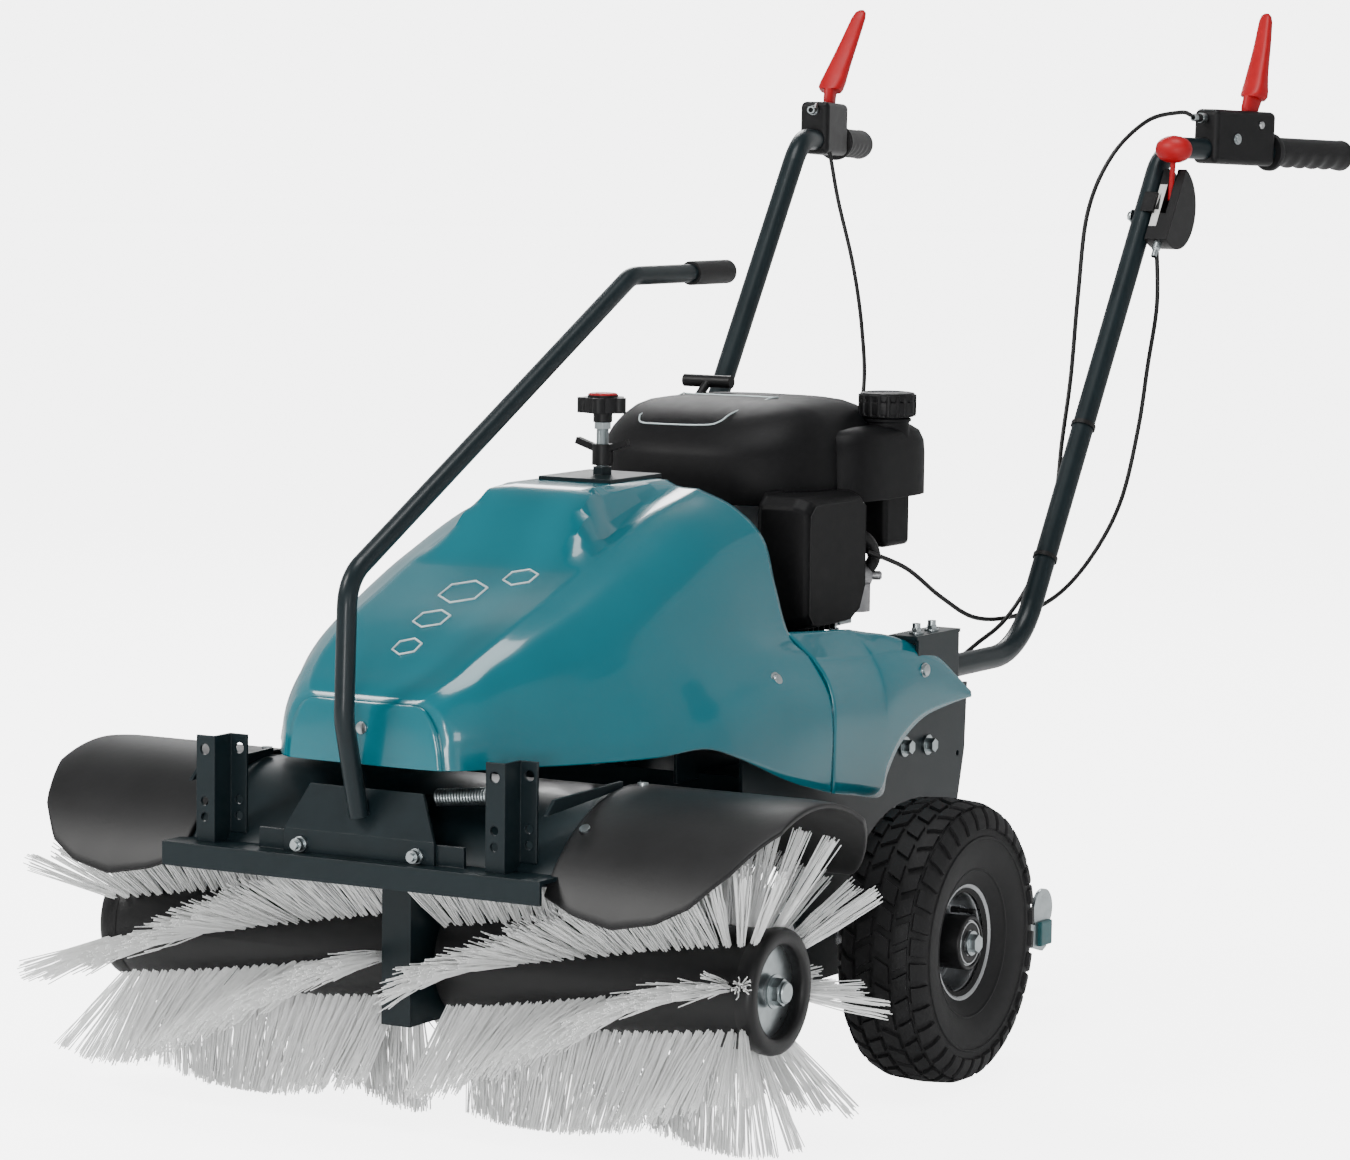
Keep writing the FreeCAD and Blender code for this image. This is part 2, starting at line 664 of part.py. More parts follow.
def make_grips():
    def grip(side):
        start = along_grip(side, 194)
        length = (along_grip(side, 337) - start).Length
        ahead = (along_grip(side, 300) - start).normalize()
        sleeve = Part.makeCylinder(16.5, length, start, ahead)
        hole = Part.makeCylinder(VALUES["tube_radius"], length - 2.6, start, ahead)
        ribs = [Part.makeCylinder(18, 4, start + ahead * (4 + 11 * i), ahead) for i in range(12)]
        return sleeve.fuse(ribs).cut(hole)
    node(feature("grips", Part.makeCompound([grip(1), grip(-1)])), "handle_grips")


def make_lever_housings():
    """Moulded blocks clamped round the handle ends, which carry the clutch levers."""
    def housing(side):
        block = Part.makeBox(112, 36, 64, Vector(0, -18, -17))
        block = block.makeFillet(7, block.Edges)
        slot = Part.makeBox(58, 15, 42, Vector(58, -7.5, 17))
        adjuster = Part.makeCylinder(5, 20, Vector(-16, 0, 36), Vector(1, 0, 0))
        bore = Part.makeCylinder(VALUES["tube_radius"], 200, Vector(-40, 0, 0), Vector(1, 0, 0))
        pin = Part.makeCylinder(2.95, 30, Vector(83, 15, 31), Vector(0, -1, 0))
        solid = block.fuse(adjuster).cut(slot).cut(bore).fuse(pin)
        solid.Placement = grip_frame(side, 72)
        return solid
    node(feature("housings", Part.makeCompound([housing(1), housing(-1)])), "lever_housings")


# Sections of a clutch lever from the hub to the tip: back and up of the front edge, back and up
# of the rear edge, and half the thickness.
LEVER_SECTIONS = [(-9, 4, 9, -4, 6.5), (-16, 26, 17, 18, 6.5), (0, 44, 20, 36, 6.5),
                  (26, 78, 38, 70, 6.0), (46, 124, 58, 114, 5.0), (55, 134, 62, 127, 3.5)]
LEVER_LEAN = math.tan(math.radians(14.9))
LEAN_START = 36
LEVER_DISTANCE = 155
LEVER_RISE = 31


def make_clutch_lever(label, side):
    """Clutch lever: a hub in the housing's slot and a tapered blade that leans inwards."""
    wires = []
    for u_front, v_front, u_back, v_back, half in LEVER_SECTIONS:
        inwards = side * LEVER_LEAN * max(0, (v_front + v_back) / 2 - LEAN_START)
        corners = [Vector(u_front, inwards - half, v_front), Vector(u_back, inwards - half, v_back),
                   Vector(u_back, inwards + half, v_back), Vector(u_front, inwards + half, v_front)]
        wires.append(Part.makePolygon(corners + corners[:1]))
    hub = Part.makeCylinder(11, 13, Vector(0, 6.5, 0), Vector(0, -1, 0))
    pin_hole = Part.makeCylinder(3, 40, Vector(0, 20, 0), Vector(0, -1, 0))
    lever = hub.fuse(Part.makeLoft(wires, True, True)).cut(pin_hole).removeSplitter()
    raised = Placement(Vector(0, 0, LEVER_RISE), Rotation())
    lever.Placement = grip_frame(side, LEVER_DISTANCE).multiply(raised)
    node(feature("clutch_lever", lever), label)


THROTTLE_AT = Vector(268, 679.5, 900)
THROTTLE_RADIUS = 48
THROTTLE_PIN = 6


def throttle_frame():
    """Placement with X backwards from the tube, Y up along it and Z outwards from the machine."""
    low, top = handle_points(1)[1:3]
    along = (top - low).normalize()
    behind = along.cross(Vector(1, 0, 0))
    return Placement(THROTTLE_AT, Rotation(behind, along, Vector(), "XYZ"))


def make_throttle():
    """Half-round throttle box beside the left handle and its lever with an oval knob."""
    disc = Part.makeCylinder(THROTTLE_RADIUS, 28, Vector(0, 0, -14))
    keep = Part.makeBox(60, 120, 40, Vector(-8, -60, -20))
    slot = Part.makeBox(25, 122, 7, Vector(-10, -12, -3.5))
    clamp = Part.makeBox(26, 26, 16, Vector(-13, -13, -27))
    pin = Part.makeCylinder(3, 20, Vector(THROTTLE_PIN, 0, -10))
    tube_space = Part.makeCylinder(VALUES["tube_radius"] + VALUES["gap"], 140, Vector(0, -70, -27),
                                   Vector(0, 1, 0))
    shape = disc.common(keep).fuse(clamp).cut([slot, tube_space]).fuse(pin).removeSplitter()
    shape.Placement = throttle_frame()
    node(feature("throttle_box", shape), "throttle_housing")
    hub = Part.makeCylinder(8, 4, Vector(THROTTLE_PIN, 0, -2))
    arm = Part.makeBox(7, 68, 4, Vector(THROTTLE_PIN - 3.5, 0, -2))
    oval = FreeCAD.Matrix(1, 0, 0, THROTTLE_PIN, 0, 1, 0, 76, 0, 0, 1.5, 6, 0, 0, 0, 1)
    knob = Part.makeSphere(15).transformGeometry(oval)
    pin_hole = Part.makeCylinder(3.05, 20, Vector(THROTTLE_PIN, 0, -10))
    lever = hub.fuse([arm, knob]).cut(pin_hole).removeSplitter()
    lever.Placement = throttle_frame()
    node(feature("throttle_lever", lever), "throttle_lever")


# ---------------------------------------------------------------- hood
HOOD_THICKNESS = 3.0
# Half sections of the hood from nose to engine: y, then five (x, z) points from the crease of
# the top panel down to the lower edge. The top panel is flat across.
HOOD_SECTIONS = [
    (-583, (72, 447), (82, 439), (89, 425), (92, 402), (95, 378)),
    (-560, (82, 458), (95, 449), (104, 431), (109, 405), (113, 378)),
    (-520, (92, 482), (112, 470), (127, 441), (136, 409), (143, 378)),
    (-476, (98, 503), (124, 488), (148, 451), (164, 411), (175, 378)),
    (-400, (102, 532), (136, 515), (172, 468), (200, 420), (222, 380)),
    (-340, (104, 555), (138, 539), (180, 488), (216, 430), (243, 384)),
    (-300, (104, 568), (140, 553), (185, 504), (227, 438), (256, 372)),
    (-200, (104, 600), (136, 589), (184, 538), (224, 456), (262, 336)),
    (-110, (101, 619), (140, 604), (188, 547), (211, 469), (262, 312)),
]


def section_wire(y, half, inset, drop):
    """Closed section across the machine, moved inwards by an inset."""
    shrunk = [(x - inset, z - inset * 0.6) for x, z in half[:-1]]
    shrunk.append((half[-1][0] - inset, half[-1][1] - drop))
    left = [Vector(x, y, z) for x, z in shrunk]
    right = [Vector(-p.x, p.y, p.z) for p in reversed(left)]
    points = left + right
    return Part.makePolygon(points + points[:1])


def hood_space(inset, drop, front, back):
    wires = [section_wire(s[0], s[1:], inset, drop) for s in HOOD_SECTIONS]
    wires[0].translate(Vector(0, front, 0))
    wires[-1].translate(Vector(0, back, 0))
    return Part.makeLoft(wires, True, True)


def plateau(inset, drop):
    def ring(half, low, high, z):
        corners = [(-half, low), (half, low), (half, high), (-half, high)]
        points = [Vector(x, y, z) for x, y in corners]
        return Part.makePolygon(points + points[:1])
    top = VALUES["plateau_z"] - inset
    return Part.makeLoft([ring(84 - inset, -352 + inset, -110 + inset, 545 - drop),
                          ring(56 - inset, -244 + inset, -110 + inset, top)], True, True)


def rear_skirt(side):
    """Skirt that sweeps back over the wheel to a point, with a rolled top edge."""
    stations = [(-110, 312, 469, 0.28), (-30, 296, 470, 0.2), (58, 342, 455, 0.0),
                (120, 372, 430, 0.0), (205, 380, 386, 0.0)]
    outer = VALUES["hood_half"]
    wires = []
    for y, z_low, z_high, lean in stations:
        inward = lean * (z_high - z_low)
        points = [(outer, z_low), (outer, z_low + 0.55 * (z_high - z_low)),
                  (outer - inward, z_high), (outer - inward - HOOD_THICKNESS, z_high - 1.5),
                  (outer - HOOD_THICKNESS, z_low + 0.52 * (z_high - z_low)),
                  (outer - HOOD_THICKNESS, z_low)]
        corners = [Vector(side * u, y, v) for u, v in points]
        wires.append(Part.makePolygon(corners + corners[:1]))
    return Part.makeLoft(wires, True, True)


def make_hood():
    outside = hood_space(0, 0, 0, 0).fuse(plateau(0, 0))
    inside = hood_space(HOOD_THICKNESS, 30, HOOD_THICKNESS, 20)
    hollow = inside.fuse(plateau(HOOD_THICKNESS, 20))
    hollow = hollow.fuse(Part.makeBox(196, 10, 240, Vector(-98, -114, 375)))
    shell = outside.cut(hollow)
    spindle_hole = Part.makeCylinder(9, 60, Vector(0, VALUES["king_y"], 600))
    screw_hole = Part.makeCylinder(4.2, 20, Vector(0, -590, 414), Vector(0, 1, 0))
    shell = shell.cut([spindle_hole, screw_hole])
    shell = shell.fuse([rear_skirt(1), rear_skirt(-1)]).removeSplitter()
    node(feature("hood", shell), "hood")


# ---------------------------------------------------------------- height adjustment
def make_spindle_tower():
    """Bracket under the hood that carries the adjusting thread."""
    legs = [box((x, -165, 334), (4, 50, 288)) for x in (-51, 47)]
    top = slab(51, -165, -115, 618, 622)
    nut = hexagon(24, 16, (0, "king_y", 602))
    thread = rod("rod_radius + gap", 60, (0, "king_y", 590))
    node(cut(fuse(top, nut, *legs), thread), "spindle_tower")


def make_spindle_plate():
    sheet_metal = slab(44, -196, -92, "plateau_z", "plateau_z + 4")
    nut = hexagon(19, 8, (0, "king_y", "plateau_z + 4"))
    thread = rod("rod_radius + gap", 30, (0, "king_y", "plateau_z - 5"))
    node(cut(fuse(sheet_metal, nut), thread), "spindle_plate")


def make_adjusting_rod():
    threaded = rod("rod_radius", 528, (0, "king_y", 172))
    nut = hexagon(17, 7, (0, "king_y", "knob_z - 17"))
    node(fuse(threaded, nut), "adjusting_rod")


def make_star_knob():
    """Five-lobed knob on the top of the rod."""
    rim = rod(22, 16, (0, 0, 0))
    lobes = [rod(7, 16, (round(20 * math.cos(a), 3), round(20 * math.sin(a), 3), 0))
             for a in (2 * math.pi * i / 5 for i in range(5))]
    hub = rod(10, 11, (0, 0, -10))
    socket = rod("rod_radius", 14, (0, 0, -10.5))
    cap = rod(16, 2.5, (0, 0, 16))
    node(cut(fuse(rim, hub, cap, *lobes), socket), "star_knob", y="axle_y + king_y", z="knob_z")


def make_wing_nut():
    hub = rod(11, 22, (0, 0, 0))
    wings = [box((9, -4, 14), (24, 8, 7), Rotation(Vector(0, 1, 0), -18)),
             box((-31.8, -4, 21.4), (24, 8, 7), Rotation(Vector(0, 1, 0), 18))]
    thread = rod("rod_radius + gap", 60, (0, 0, -10))
    node(cut(fuse(hub, *wings), thread), "wing_nut", y="axle_y + king_y", z="plateau_z + 14")


def make_lift_tube():
    """Tube that slides in the deck's sleeve and carries the brush head on its lower end."""
    tube = rod("king_radius", 170, (0, 0, 165))
    collar = rod("king_radius + 10", 9, (0, 0, 165))
    hollow = rod(18, 200, (0, 0, 174))
    window = box((-22, -40, 197), (44, 40, 36))
    socket = rod("rod_radius + gap", 60, (0, 0, 150))
    node(cut(fuse(tube, collar), hollow, window, socket), "lift_tube", y="axle_y + king_y")


def bevel_blank():
    """Bevel gear blank without teeth, with its apex one base radius away."""
    obj = doc.addObject("Part::Cone", "bevel")
    return bind(obj, Radius1="bevel_radius", Radius2="bevel_radius - 3", Height=3)


def make_pivot_shaft():
    """Hollow shaft from the brush pulley down to the bevel gears."""
    shaft = rod(12, 201, (0, 0, 199))
    gear = put(bevel_blank(), 0, 0, 199)
    through = rod("rod_radius + 1", 240, (0, 0, 180))
    node(cut(fuse(shaft, gear), through), "pivot_shaft", y="axle_y + king_y")


# ---------------------------------------------------------------- swivelling brush head
def make_boom():
    """Boom from the swivel hub forward to the drive case."""
    hub = rod("king_radius + 16", 80, (0, "king_y", 175))
    beam = slab("case_half", "brush_y + case_depth", "king_y - 38", 180, 250)
    bore = rod("king_radius + gap", 100, (0, "king_y", 165))
    shaft_bore = rod(8.05, 260, (0, "king_y - 250", 215), "y")
    node(cut(fuse(hub, beam), bore, shaft_bore), "brush_boom")


def make_gear_case():
    """Flat case between the brush halves, with the worm drive inside."""
    depth = VALUES["case_depth"]
    half = VALUES["case_half"]
    axis_y, axis_z = VALUES["brush_y"], VALUES["brush_z"]
    bound = Part.makeCylinder(VALUES["guard_radius"] - 3, 200, Vector(-100, axis_y, axis_z),
                              Vector(1, 0, 0))
    block = Part.makeBox(2 * half, 2 * depth, 245, Vector(-half, axis_y - depth, 108))
    block = block.common(bound)
    room = Part.makeBox(22.4, 96, 120, Vector(-11.2, axis_y - 48, 116))
    shaft = Part.makeCylinder(VALUES["shaft_radius"] + VALUES["gap"], 80,
                              Vector(-40, axis_y, axis_z), Vector(1, 0, 0))
    worm = Part.makeCylinder(8.05, 120, Vector(0, axis_y + 20, 215), Vector(0, 1, 0))
    node(feature("gear_case", block.cut([room, shaft, worm])), "gear_case")


def make_worm_shaft():
    """Boom shaft with its bevel gear and the worm, without threads or teeth."""
    shaft = rod(8, 312, (0, "brush_y - 30", 215), "y")
    worm = rod(10.7, 66, (0, "brush_y - 33", 215), "y")
    gear = put(bevel_blank(), 0, "king_y - 16", 215, AXIS_TURN["y"])
    node(fuse(shaft, worm, gear), "worm_shaft")


def make_front_bar():
    """Folded front bar with the upstand that the steering plate bolts to."""
    lip = slab("bar_half", "bar_front", "bar_front + 4", "bar_top - 24", "bar_top")
    shelf = slab("bar_half", "bar_front", -572, "bar_top - 4", "bar_top")
    upstand = slab(120, -594, -590, "bar_top - 4", "bar_top + 20")
    bolt_holes = [rod(4.3, 30, (x, -610, 294), "y") for x in (-68, 68)]
    brush_space = rod("guard_radius", 600, (-300, "brush_y", "brush_z"), "x")
    node(cut(fuse(lip, shelf, upstand), brush_space, *bolt_holes), "front_bar")


def make_uprights():
    """Z-section posts with a bolt hole pattern for front attachments."""
    def post(x):
        height = "upright_top - bar_top"
        front = box((x + " - 22", "upright_y", "bar_top"), (22, 3, height))
        web = box((x + " - 3", "upright_y", "bar_top"), (3, 31, height))
        rear = box((x + " - 3", "upright_y + 28", "bar_top"), (22, 3, height))
        holes = []
        for hole_x, hole_y in ((x + " - 12", "upright_y - 1"), (x + " + 10", "upright_y + 27")):
            for down, radius in ((14, 5.5), (66, 4.5), (82, 4.5)):
                holes.append(rod(radius, 5, (hole_x, hole_y, "upright_top - %d" % down), "y"))
        brush_space = rod("guard_radius + 0.3", 600, (-300, "brush_y", "brush_z"), "x")
        return cut(fuse(front, web, rear), brush_space, *holes)
    node(group(post("-upright_x"), post("upright_x")), "uprights")


LEVER_PATH = [Vector(0, -597, 328), Vector(0, -624, 425), Vector(0, -619, 562),
              Vector(0, -85, 838), Vector(0, 116, 836)]


def make_steering_lever():
    """Folded steering plate with the swivel lever welded to it."""
    lean = math.atan2(14, 45)
    points = [Vector(-88, 0, 0), Vector(88, 0, 0), Vector(66, 0, 47), Vector(-66, 0, 47)]
    wing = Part.Face(Part.makePolygon(points + points[:1])).extrude(Vector(0, 4, 0))
    wing.rotate(Vector(0, 0, 0), Vector(1, 0, 0), -math.degrees(lean))
    wing.translate(Vector(0, -598, 308.5))
    lever = tube_along(bent_path(LEVER_PATH, [60, 45, 45]), 10)
    folded = Part.makeBox(176, 4, 309 - VALUES["bar_top"], Vector(-88, -598, VALUES["bar_top"]))
    bolt_holes = [Part.makeCylinder(4.3, 30, Vector(x, -610, 294), Vector(0, 1, 0))
                  for x in (-68, 68)]
    solid = folded.fuse([wing, lever]).cut(bolt_holes).removeSplitter()
    node(feature("steering_lever", solid), "steering_lever")


def make_swivel_grip():
    before, end = LEVER_PATH[-2:]
    ahead = (end - before).normalize()
    start = end - ahead * 75
    sleeve = Part.makeCylinder(13, 78, start, ahead)
    hole = Part.makeCylinder(10, 75, start, ahead)
    node(feature("swivel_grip", sleeve.cut(hole)), "swivel_grip")


def make_head_cover():
    """Curved steel cover over the middle of the brush."""
    radius = VALUES["guard_radius"]
    sheet_metal = arc_sheet(radius, radius - 3, -212, 212, 36, 140)
    node(feature("head_cover", sheet_metal), "head_cover", y="axle_y + brush_y", z="brush_z")


GUARD_BOLT_X = 224
GUARD_BOLT_ANGLES = (57, 92)


def radial_rods(radius, x, start, length):
    """Rods that point out from the brush shaft at each place of a guard bolt."""
    rods = []
    for angle in GUARD_BOLT_ANGLES:
        a = math.radians(angle)
        out = Vector(0, -math.cos(a), math.sin(a))
        rods.append(Part.makeCylinder(radius, length, Vector(x, 0, 0) + out * start, out))
    return rods


def make_guard(label, side):
    """Rubber guard over one brush half; its front lip dips and then sweeps back."""
    radius = VALUES["guard_radius"]
    start, end = VALUES["guard_start"], VALUES["guard_end"]
    sheet_rubber = arc_sheet(radius, radius - 5, start, end, 22, 150)
    lip = [(start, 32), (250, 27), (295, 24), (340, 27), (372, 33), (402, 46), (end, 66)]
    below = []
    for x, angle in lip:
        a = math.radians(angle)
        below.append(Vector(x, -300, radius * math.sin(a)))
    bottom = [Vector(end, -300, -200), Vector(start, -300, -200)]
    window = Part.Face(Part.makePolygon(below + bottom + below[:1]))
    front = window.extrude(Vector(0, 300, 0))
    shape = sheet_rubber.cut([front] + radial_rods(4.1, GUARD_BOLT_X, 150, 60))
    if side < 0:
        shape = shape.mirror(Vector(0, 0, 0), Vector(1, 0, 0))
    node(feature("guard", shape), label, y="axle_y + brush_y", z="brush_z")


def make_guard_brackets():
    """Arched strips under the inner edge of each rubber guard, with a stay to the upright."""
    inside = VALUES["guard_radius"] - 5
    solids = []
    for side in (1, -1):
        strip = arc_sheet(inside, inside - 3, 196, 240, 40, 140)
        under_cover = arc_sheet(inside + 2, inside - 3, 196, 212, 40, 140)
        strip = strip.fuse(under_cover).cut(radial_rods(4.1, GUARD_BOLT_X, 150, 60))
        corners = [Vector(206, -151, 176), Vector(206, -8, 186), Vector(206, -8, 193),
                   Vector(206, -135, 190)]
        stay = Part.Face(Part.makePolygon(corners + corners[:1])).extrude(Vector(4, 0, 0))
        stay = stay.cut(Part.makeCylinder(inside + 5, 60, Vector(190, 0, 0), Vector(1, 0, 0)))
        for solid in (strip, stay):
            mirrored = solid.mirror(Vector(0, 0, 0), Vector(1, 0, 0))
            solids.append(solid if side > 0 else mirrored)
    node(feature("guard_brackets", *solids), "guard_brackets", y="axle_y + brush_y", z="brush_z")


def make_head_bolts():
    """Steering plate bolts and the bolts that hold the rubber guards."""
    ahead = Vector(0, 1, 0)
    solids = []
    for x in (-68, 68):
        washer = Part.makeCylinder(7.8, 2, Vector(x, -600, 294), ahead)
        shank = Part.makeCylinder(4.2, 26, Vector(x, -611, 294), ahead)
        dome = Part.makeCylinder(6.5, 7, Vector(x, -607, 294), ahead)
        solids.append(shank.fuse([washer, dome]).removeSplitter())
    top = VALUES["guard_radius"] + 0.3
    for x in (GUARD_BOLT_X, -GUARD_BOLT_X):
        shanks = radial_rods(4.0, x, top - 14, 16)
        washers = radial_rods(10, x, top, 2)
        domes = radial_rods(5.5, x, top, 7)
        for shank, washer, dome in zip(shanks, washers, domes):
            bolt = shank.fuse([washer, dome]).removeSplitter()
            bolt.translate(Vector(0, VALUES["brush_y"], VALUES["brush_z"]))
            solids.append(bolt)
    node(feature("head_bolts", *solids), "head_bolts")


def make_return_spring():
    """Tension spring that steadies the steering plate."""
    coil = Part.makeHelix(3.2, 58, 7.5)
    ring = Part.Wire(Part.makeCircle(1.3, Vector(7.5, 0, 0), Vector(0, 1, 0)))
    spring = coil.makePipeShell([ring], True, True)
    spring.Placement = Placement(Vector(64, -556, 346), Rotation(Vector(0, 0, 1), Vector(58, 4, 6)))
    node(feature("return_spring", spring), "return_spring")


# ---------------------------------------------------------------- brush
def make_brush_shaft():
    bar = rod("shaft_radius", "2 * brush_half - 10", (0, 0, 0))
    node(bar, "brush_shaft", x="5 - brush_half", y="axle_y + brush_y", z="brush_z",
         turn=AXIS_TURN["x"])


def make_worm_wheel():
    wheel = turned("worm_wheel", [(-6, "shaft_radius"), (-6, 36), (6, 36), (6, "shaft_radius")])
    node(wheel, "worm_wheel", y="axle_y + brush_y", z="brush_z")


def make_brush_cores():
    """Hollow cores with a thick rim at the outer end."""
    def core(turn):
        profile = [("brush_inner", "shaft_radius"), ("brush_inner", "core_radius"),
                   ("brush_half", "core_radius"), ("brush_half", 46), ("brush_half - 10", 46),
                   ("brush_half - 10", 53), ("brush_inner + 6", 53),
                   ("brush_inner + 6", "shaft_radius")]
        return put(turned("brush_core", profile), 0, 0, 0, turn)
    node(group(core(Rotation()), core(HALF_TURN)), "brush_cores",
         y="axle_y + brush_y", z="brush_z")


def make_end_discs():
    """Zinc discs and nuts that clamp the cores on the shaft."""
    def disc(turn):
        profile = [("brush_half - 13", "shaft_radius"), ("brush_half - 13", 52.9),
                   ("brush_half - 10.2", 52.9), ("brush_half - 10.2", "shaft_radius")]
        return put(turned("end_disc", profile), 0, 0, 0, turn)
    def nut(base, axis_turn):
        washer = rod(17, 2, (0, 0, 0), "z")
        head = hexagon(24, 9, (0, 0, 2))
        return put(fuse(washer, head), base, 0, 0, axis_turn)
    right_turn = AXIS_TURN["x"]
    left_turn = Rotation(Vector(0, 1, 0), -90)
    node(group(disc(Rotation()), disc(HALF_TURN),
               nut("brush_half - 5", right_turn), nut("5 - brush_half", left_turn)),
         "brush_end_discs", y="axle_y + brush_y", z="brush_z")


def make_bristles():
    """Space that the bristle tufts fill, as one ring over each core."""
    def ring(turn):
        profile = [("brush_inner", "core_radius"), ("brush_inner", "bristle_radius - 4"),
                   ("brush_inner + 8", "bristle_radius"), ("brush_half - 6", "bristle_radius"),
                   ("brush_half + 14", "bristle_radius - 10"), ("brush_half", "core_radius")]
        return put(turned("bristles", profile), 0, 0, 0, turn)
    node(group(ring(Rotation()), ring(HALF_TURN)), "bristles",
         y="axle_y + brush_y", z="brush_z")


def make_rear_stand():
    """Parking stand: two zinc arms and a square foot behind the wheels."""
    def arm(x):
        outline = [(0, 14), (14, 4), (290, -46), (304, -60), (304, -72), (294, -76), (280, -72),
                   (4, -14), (-12, -8), (-12, 8)]
        body = plate("stand_arm", "YZ_Plane", outline, 4, [(0, 0, 6.05)])
        return put(body, x, 0, 0)
    foot = box((-216, 280, -70), (432, 30, 30))
    lug = [rod(24, 4, (x, 294, -28), "x") for x in (-216, 212)]
    trimmed = cut(foot, box((-212, 283, -67), (424, 24, 24)))
    node(fuse(arm(-216), arm(212), trimmed, *lug), "rear_stand", y="axle_y + 200", z=128)


def build_all():
    make_side_plates()
    make_deck()
    make_handle_brackets()
    make_frame_bolts()
    make_axle_bearings()
    make_transaxle()
    for side, name in ((1, "left"), (-1, "right")):
        make_tyre("tyre_" + name, side)
        make_rim("rim_" + name, side)
        make_wheel_bearings("wheel_bearings_" + name, side)
    make_axle()
    make_axle_bolts()
    make_engine_block()
    make_engine_shroud()
    make_fuel_tank()
    make_fuel_cap()
    make_air_filter()
    make_carburettor()
    make_muffler()
    make_recoil_handle()
    make_crankshaft()
    make_gearbox_input()
    make_brush_pulley()
    make_belts()
    make_handle_tubes()
    make_grips()
    make_lever_housings()
    for side, name in ((1, "left"), (-1, "right")):
        make_clutch_lever("clutch_lever_" + name, side)
        make_guard("rubber_guard_" + name, side)
    make_throttle()
    make_hood()
    make_spindle_tower()
    make_spindle_plate()
    make_adjusting_rod()
    make_star_knob()
    make_wing_nut()
    make_lift_tube()
    make_pivot_shaft()
    make_boom()
    make_gear_case()
    make_worm_shaft()
    make_front_bar()
    make_uprights()
    make_steering_lever()
    make_swivel_grip()
    make_head_cover()
    make_guard_brackets()
    make_head_bolts()
    make_return_spring()
    make_brush_shaft()
    make_worm_wheel()
    make_brush_cores()
    make_end_discs()
    make_bristles()
    make_rear_stand()


def check_and_write():
    doc.recompute()
    broken = []
    for obj in doc.Objects:
        if "Invalid" in obj.State or "Error" in obj.State:
            broken.append("%s is %s" % (obj.Name, obj.State))
    for obj, label in NODES:
        shape = obj.Shape
        if shape.isNull() or not shape.isValid() or not shape.Solids:
            broken.append("%s has a bad shape" % label)
    if broken:
        raise RuntimeError("; ".join(broken))
    os.makedirs("parts", exist_ok=True)
    for obj, label in NODES:
        obj.Shape.exportStep("parts/%s.step" % label)


build_all()
check_and_write()
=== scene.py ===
import itertools
import math

import bpy
import numpy as np
from mathutils import Matrix, Vector


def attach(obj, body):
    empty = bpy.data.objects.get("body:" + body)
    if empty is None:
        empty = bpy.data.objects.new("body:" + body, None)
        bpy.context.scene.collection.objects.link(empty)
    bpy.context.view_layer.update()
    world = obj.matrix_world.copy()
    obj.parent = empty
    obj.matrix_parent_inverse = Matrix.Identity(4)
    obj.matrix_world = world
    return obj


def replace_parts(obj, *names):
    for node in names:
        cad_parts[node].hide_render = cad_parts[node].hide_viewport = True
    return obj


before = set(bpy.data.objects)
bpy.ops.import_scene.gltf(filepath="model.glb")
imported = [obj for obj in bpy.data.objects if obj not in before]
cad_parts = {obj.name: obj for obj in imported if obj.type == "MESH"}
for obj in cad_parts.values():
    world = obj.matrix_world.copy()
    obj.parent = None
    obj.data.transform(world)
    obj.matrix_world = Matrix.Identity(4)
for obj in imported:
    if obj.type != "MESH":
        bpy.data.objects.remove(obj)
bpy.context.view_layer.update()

# The wheel axle's place along the frame in metres, and a millimetre in metres.
AXLE_Y = -0.207
MM = 0.001
SIDES = ((1, "left"), (-1, "right"))
UP = Vector((0, 0, 1))

# Places and sizes in mm from the wheel axle's place on the ground.
BRUSH_Y, BRUSH_Z = -437.0, 168.0
BRUSH_END = 383
SPINDLE_Y = -140
WHEEL_X, WHEEL_Z = 332.5, 150
SHEET = 3


def at(x, y, z):
    """Point in metres from millimetres measured from the wheel axle's place on the ground."""
    return Vector((x * MM, y * MM + AXLE_Y, z * MM))


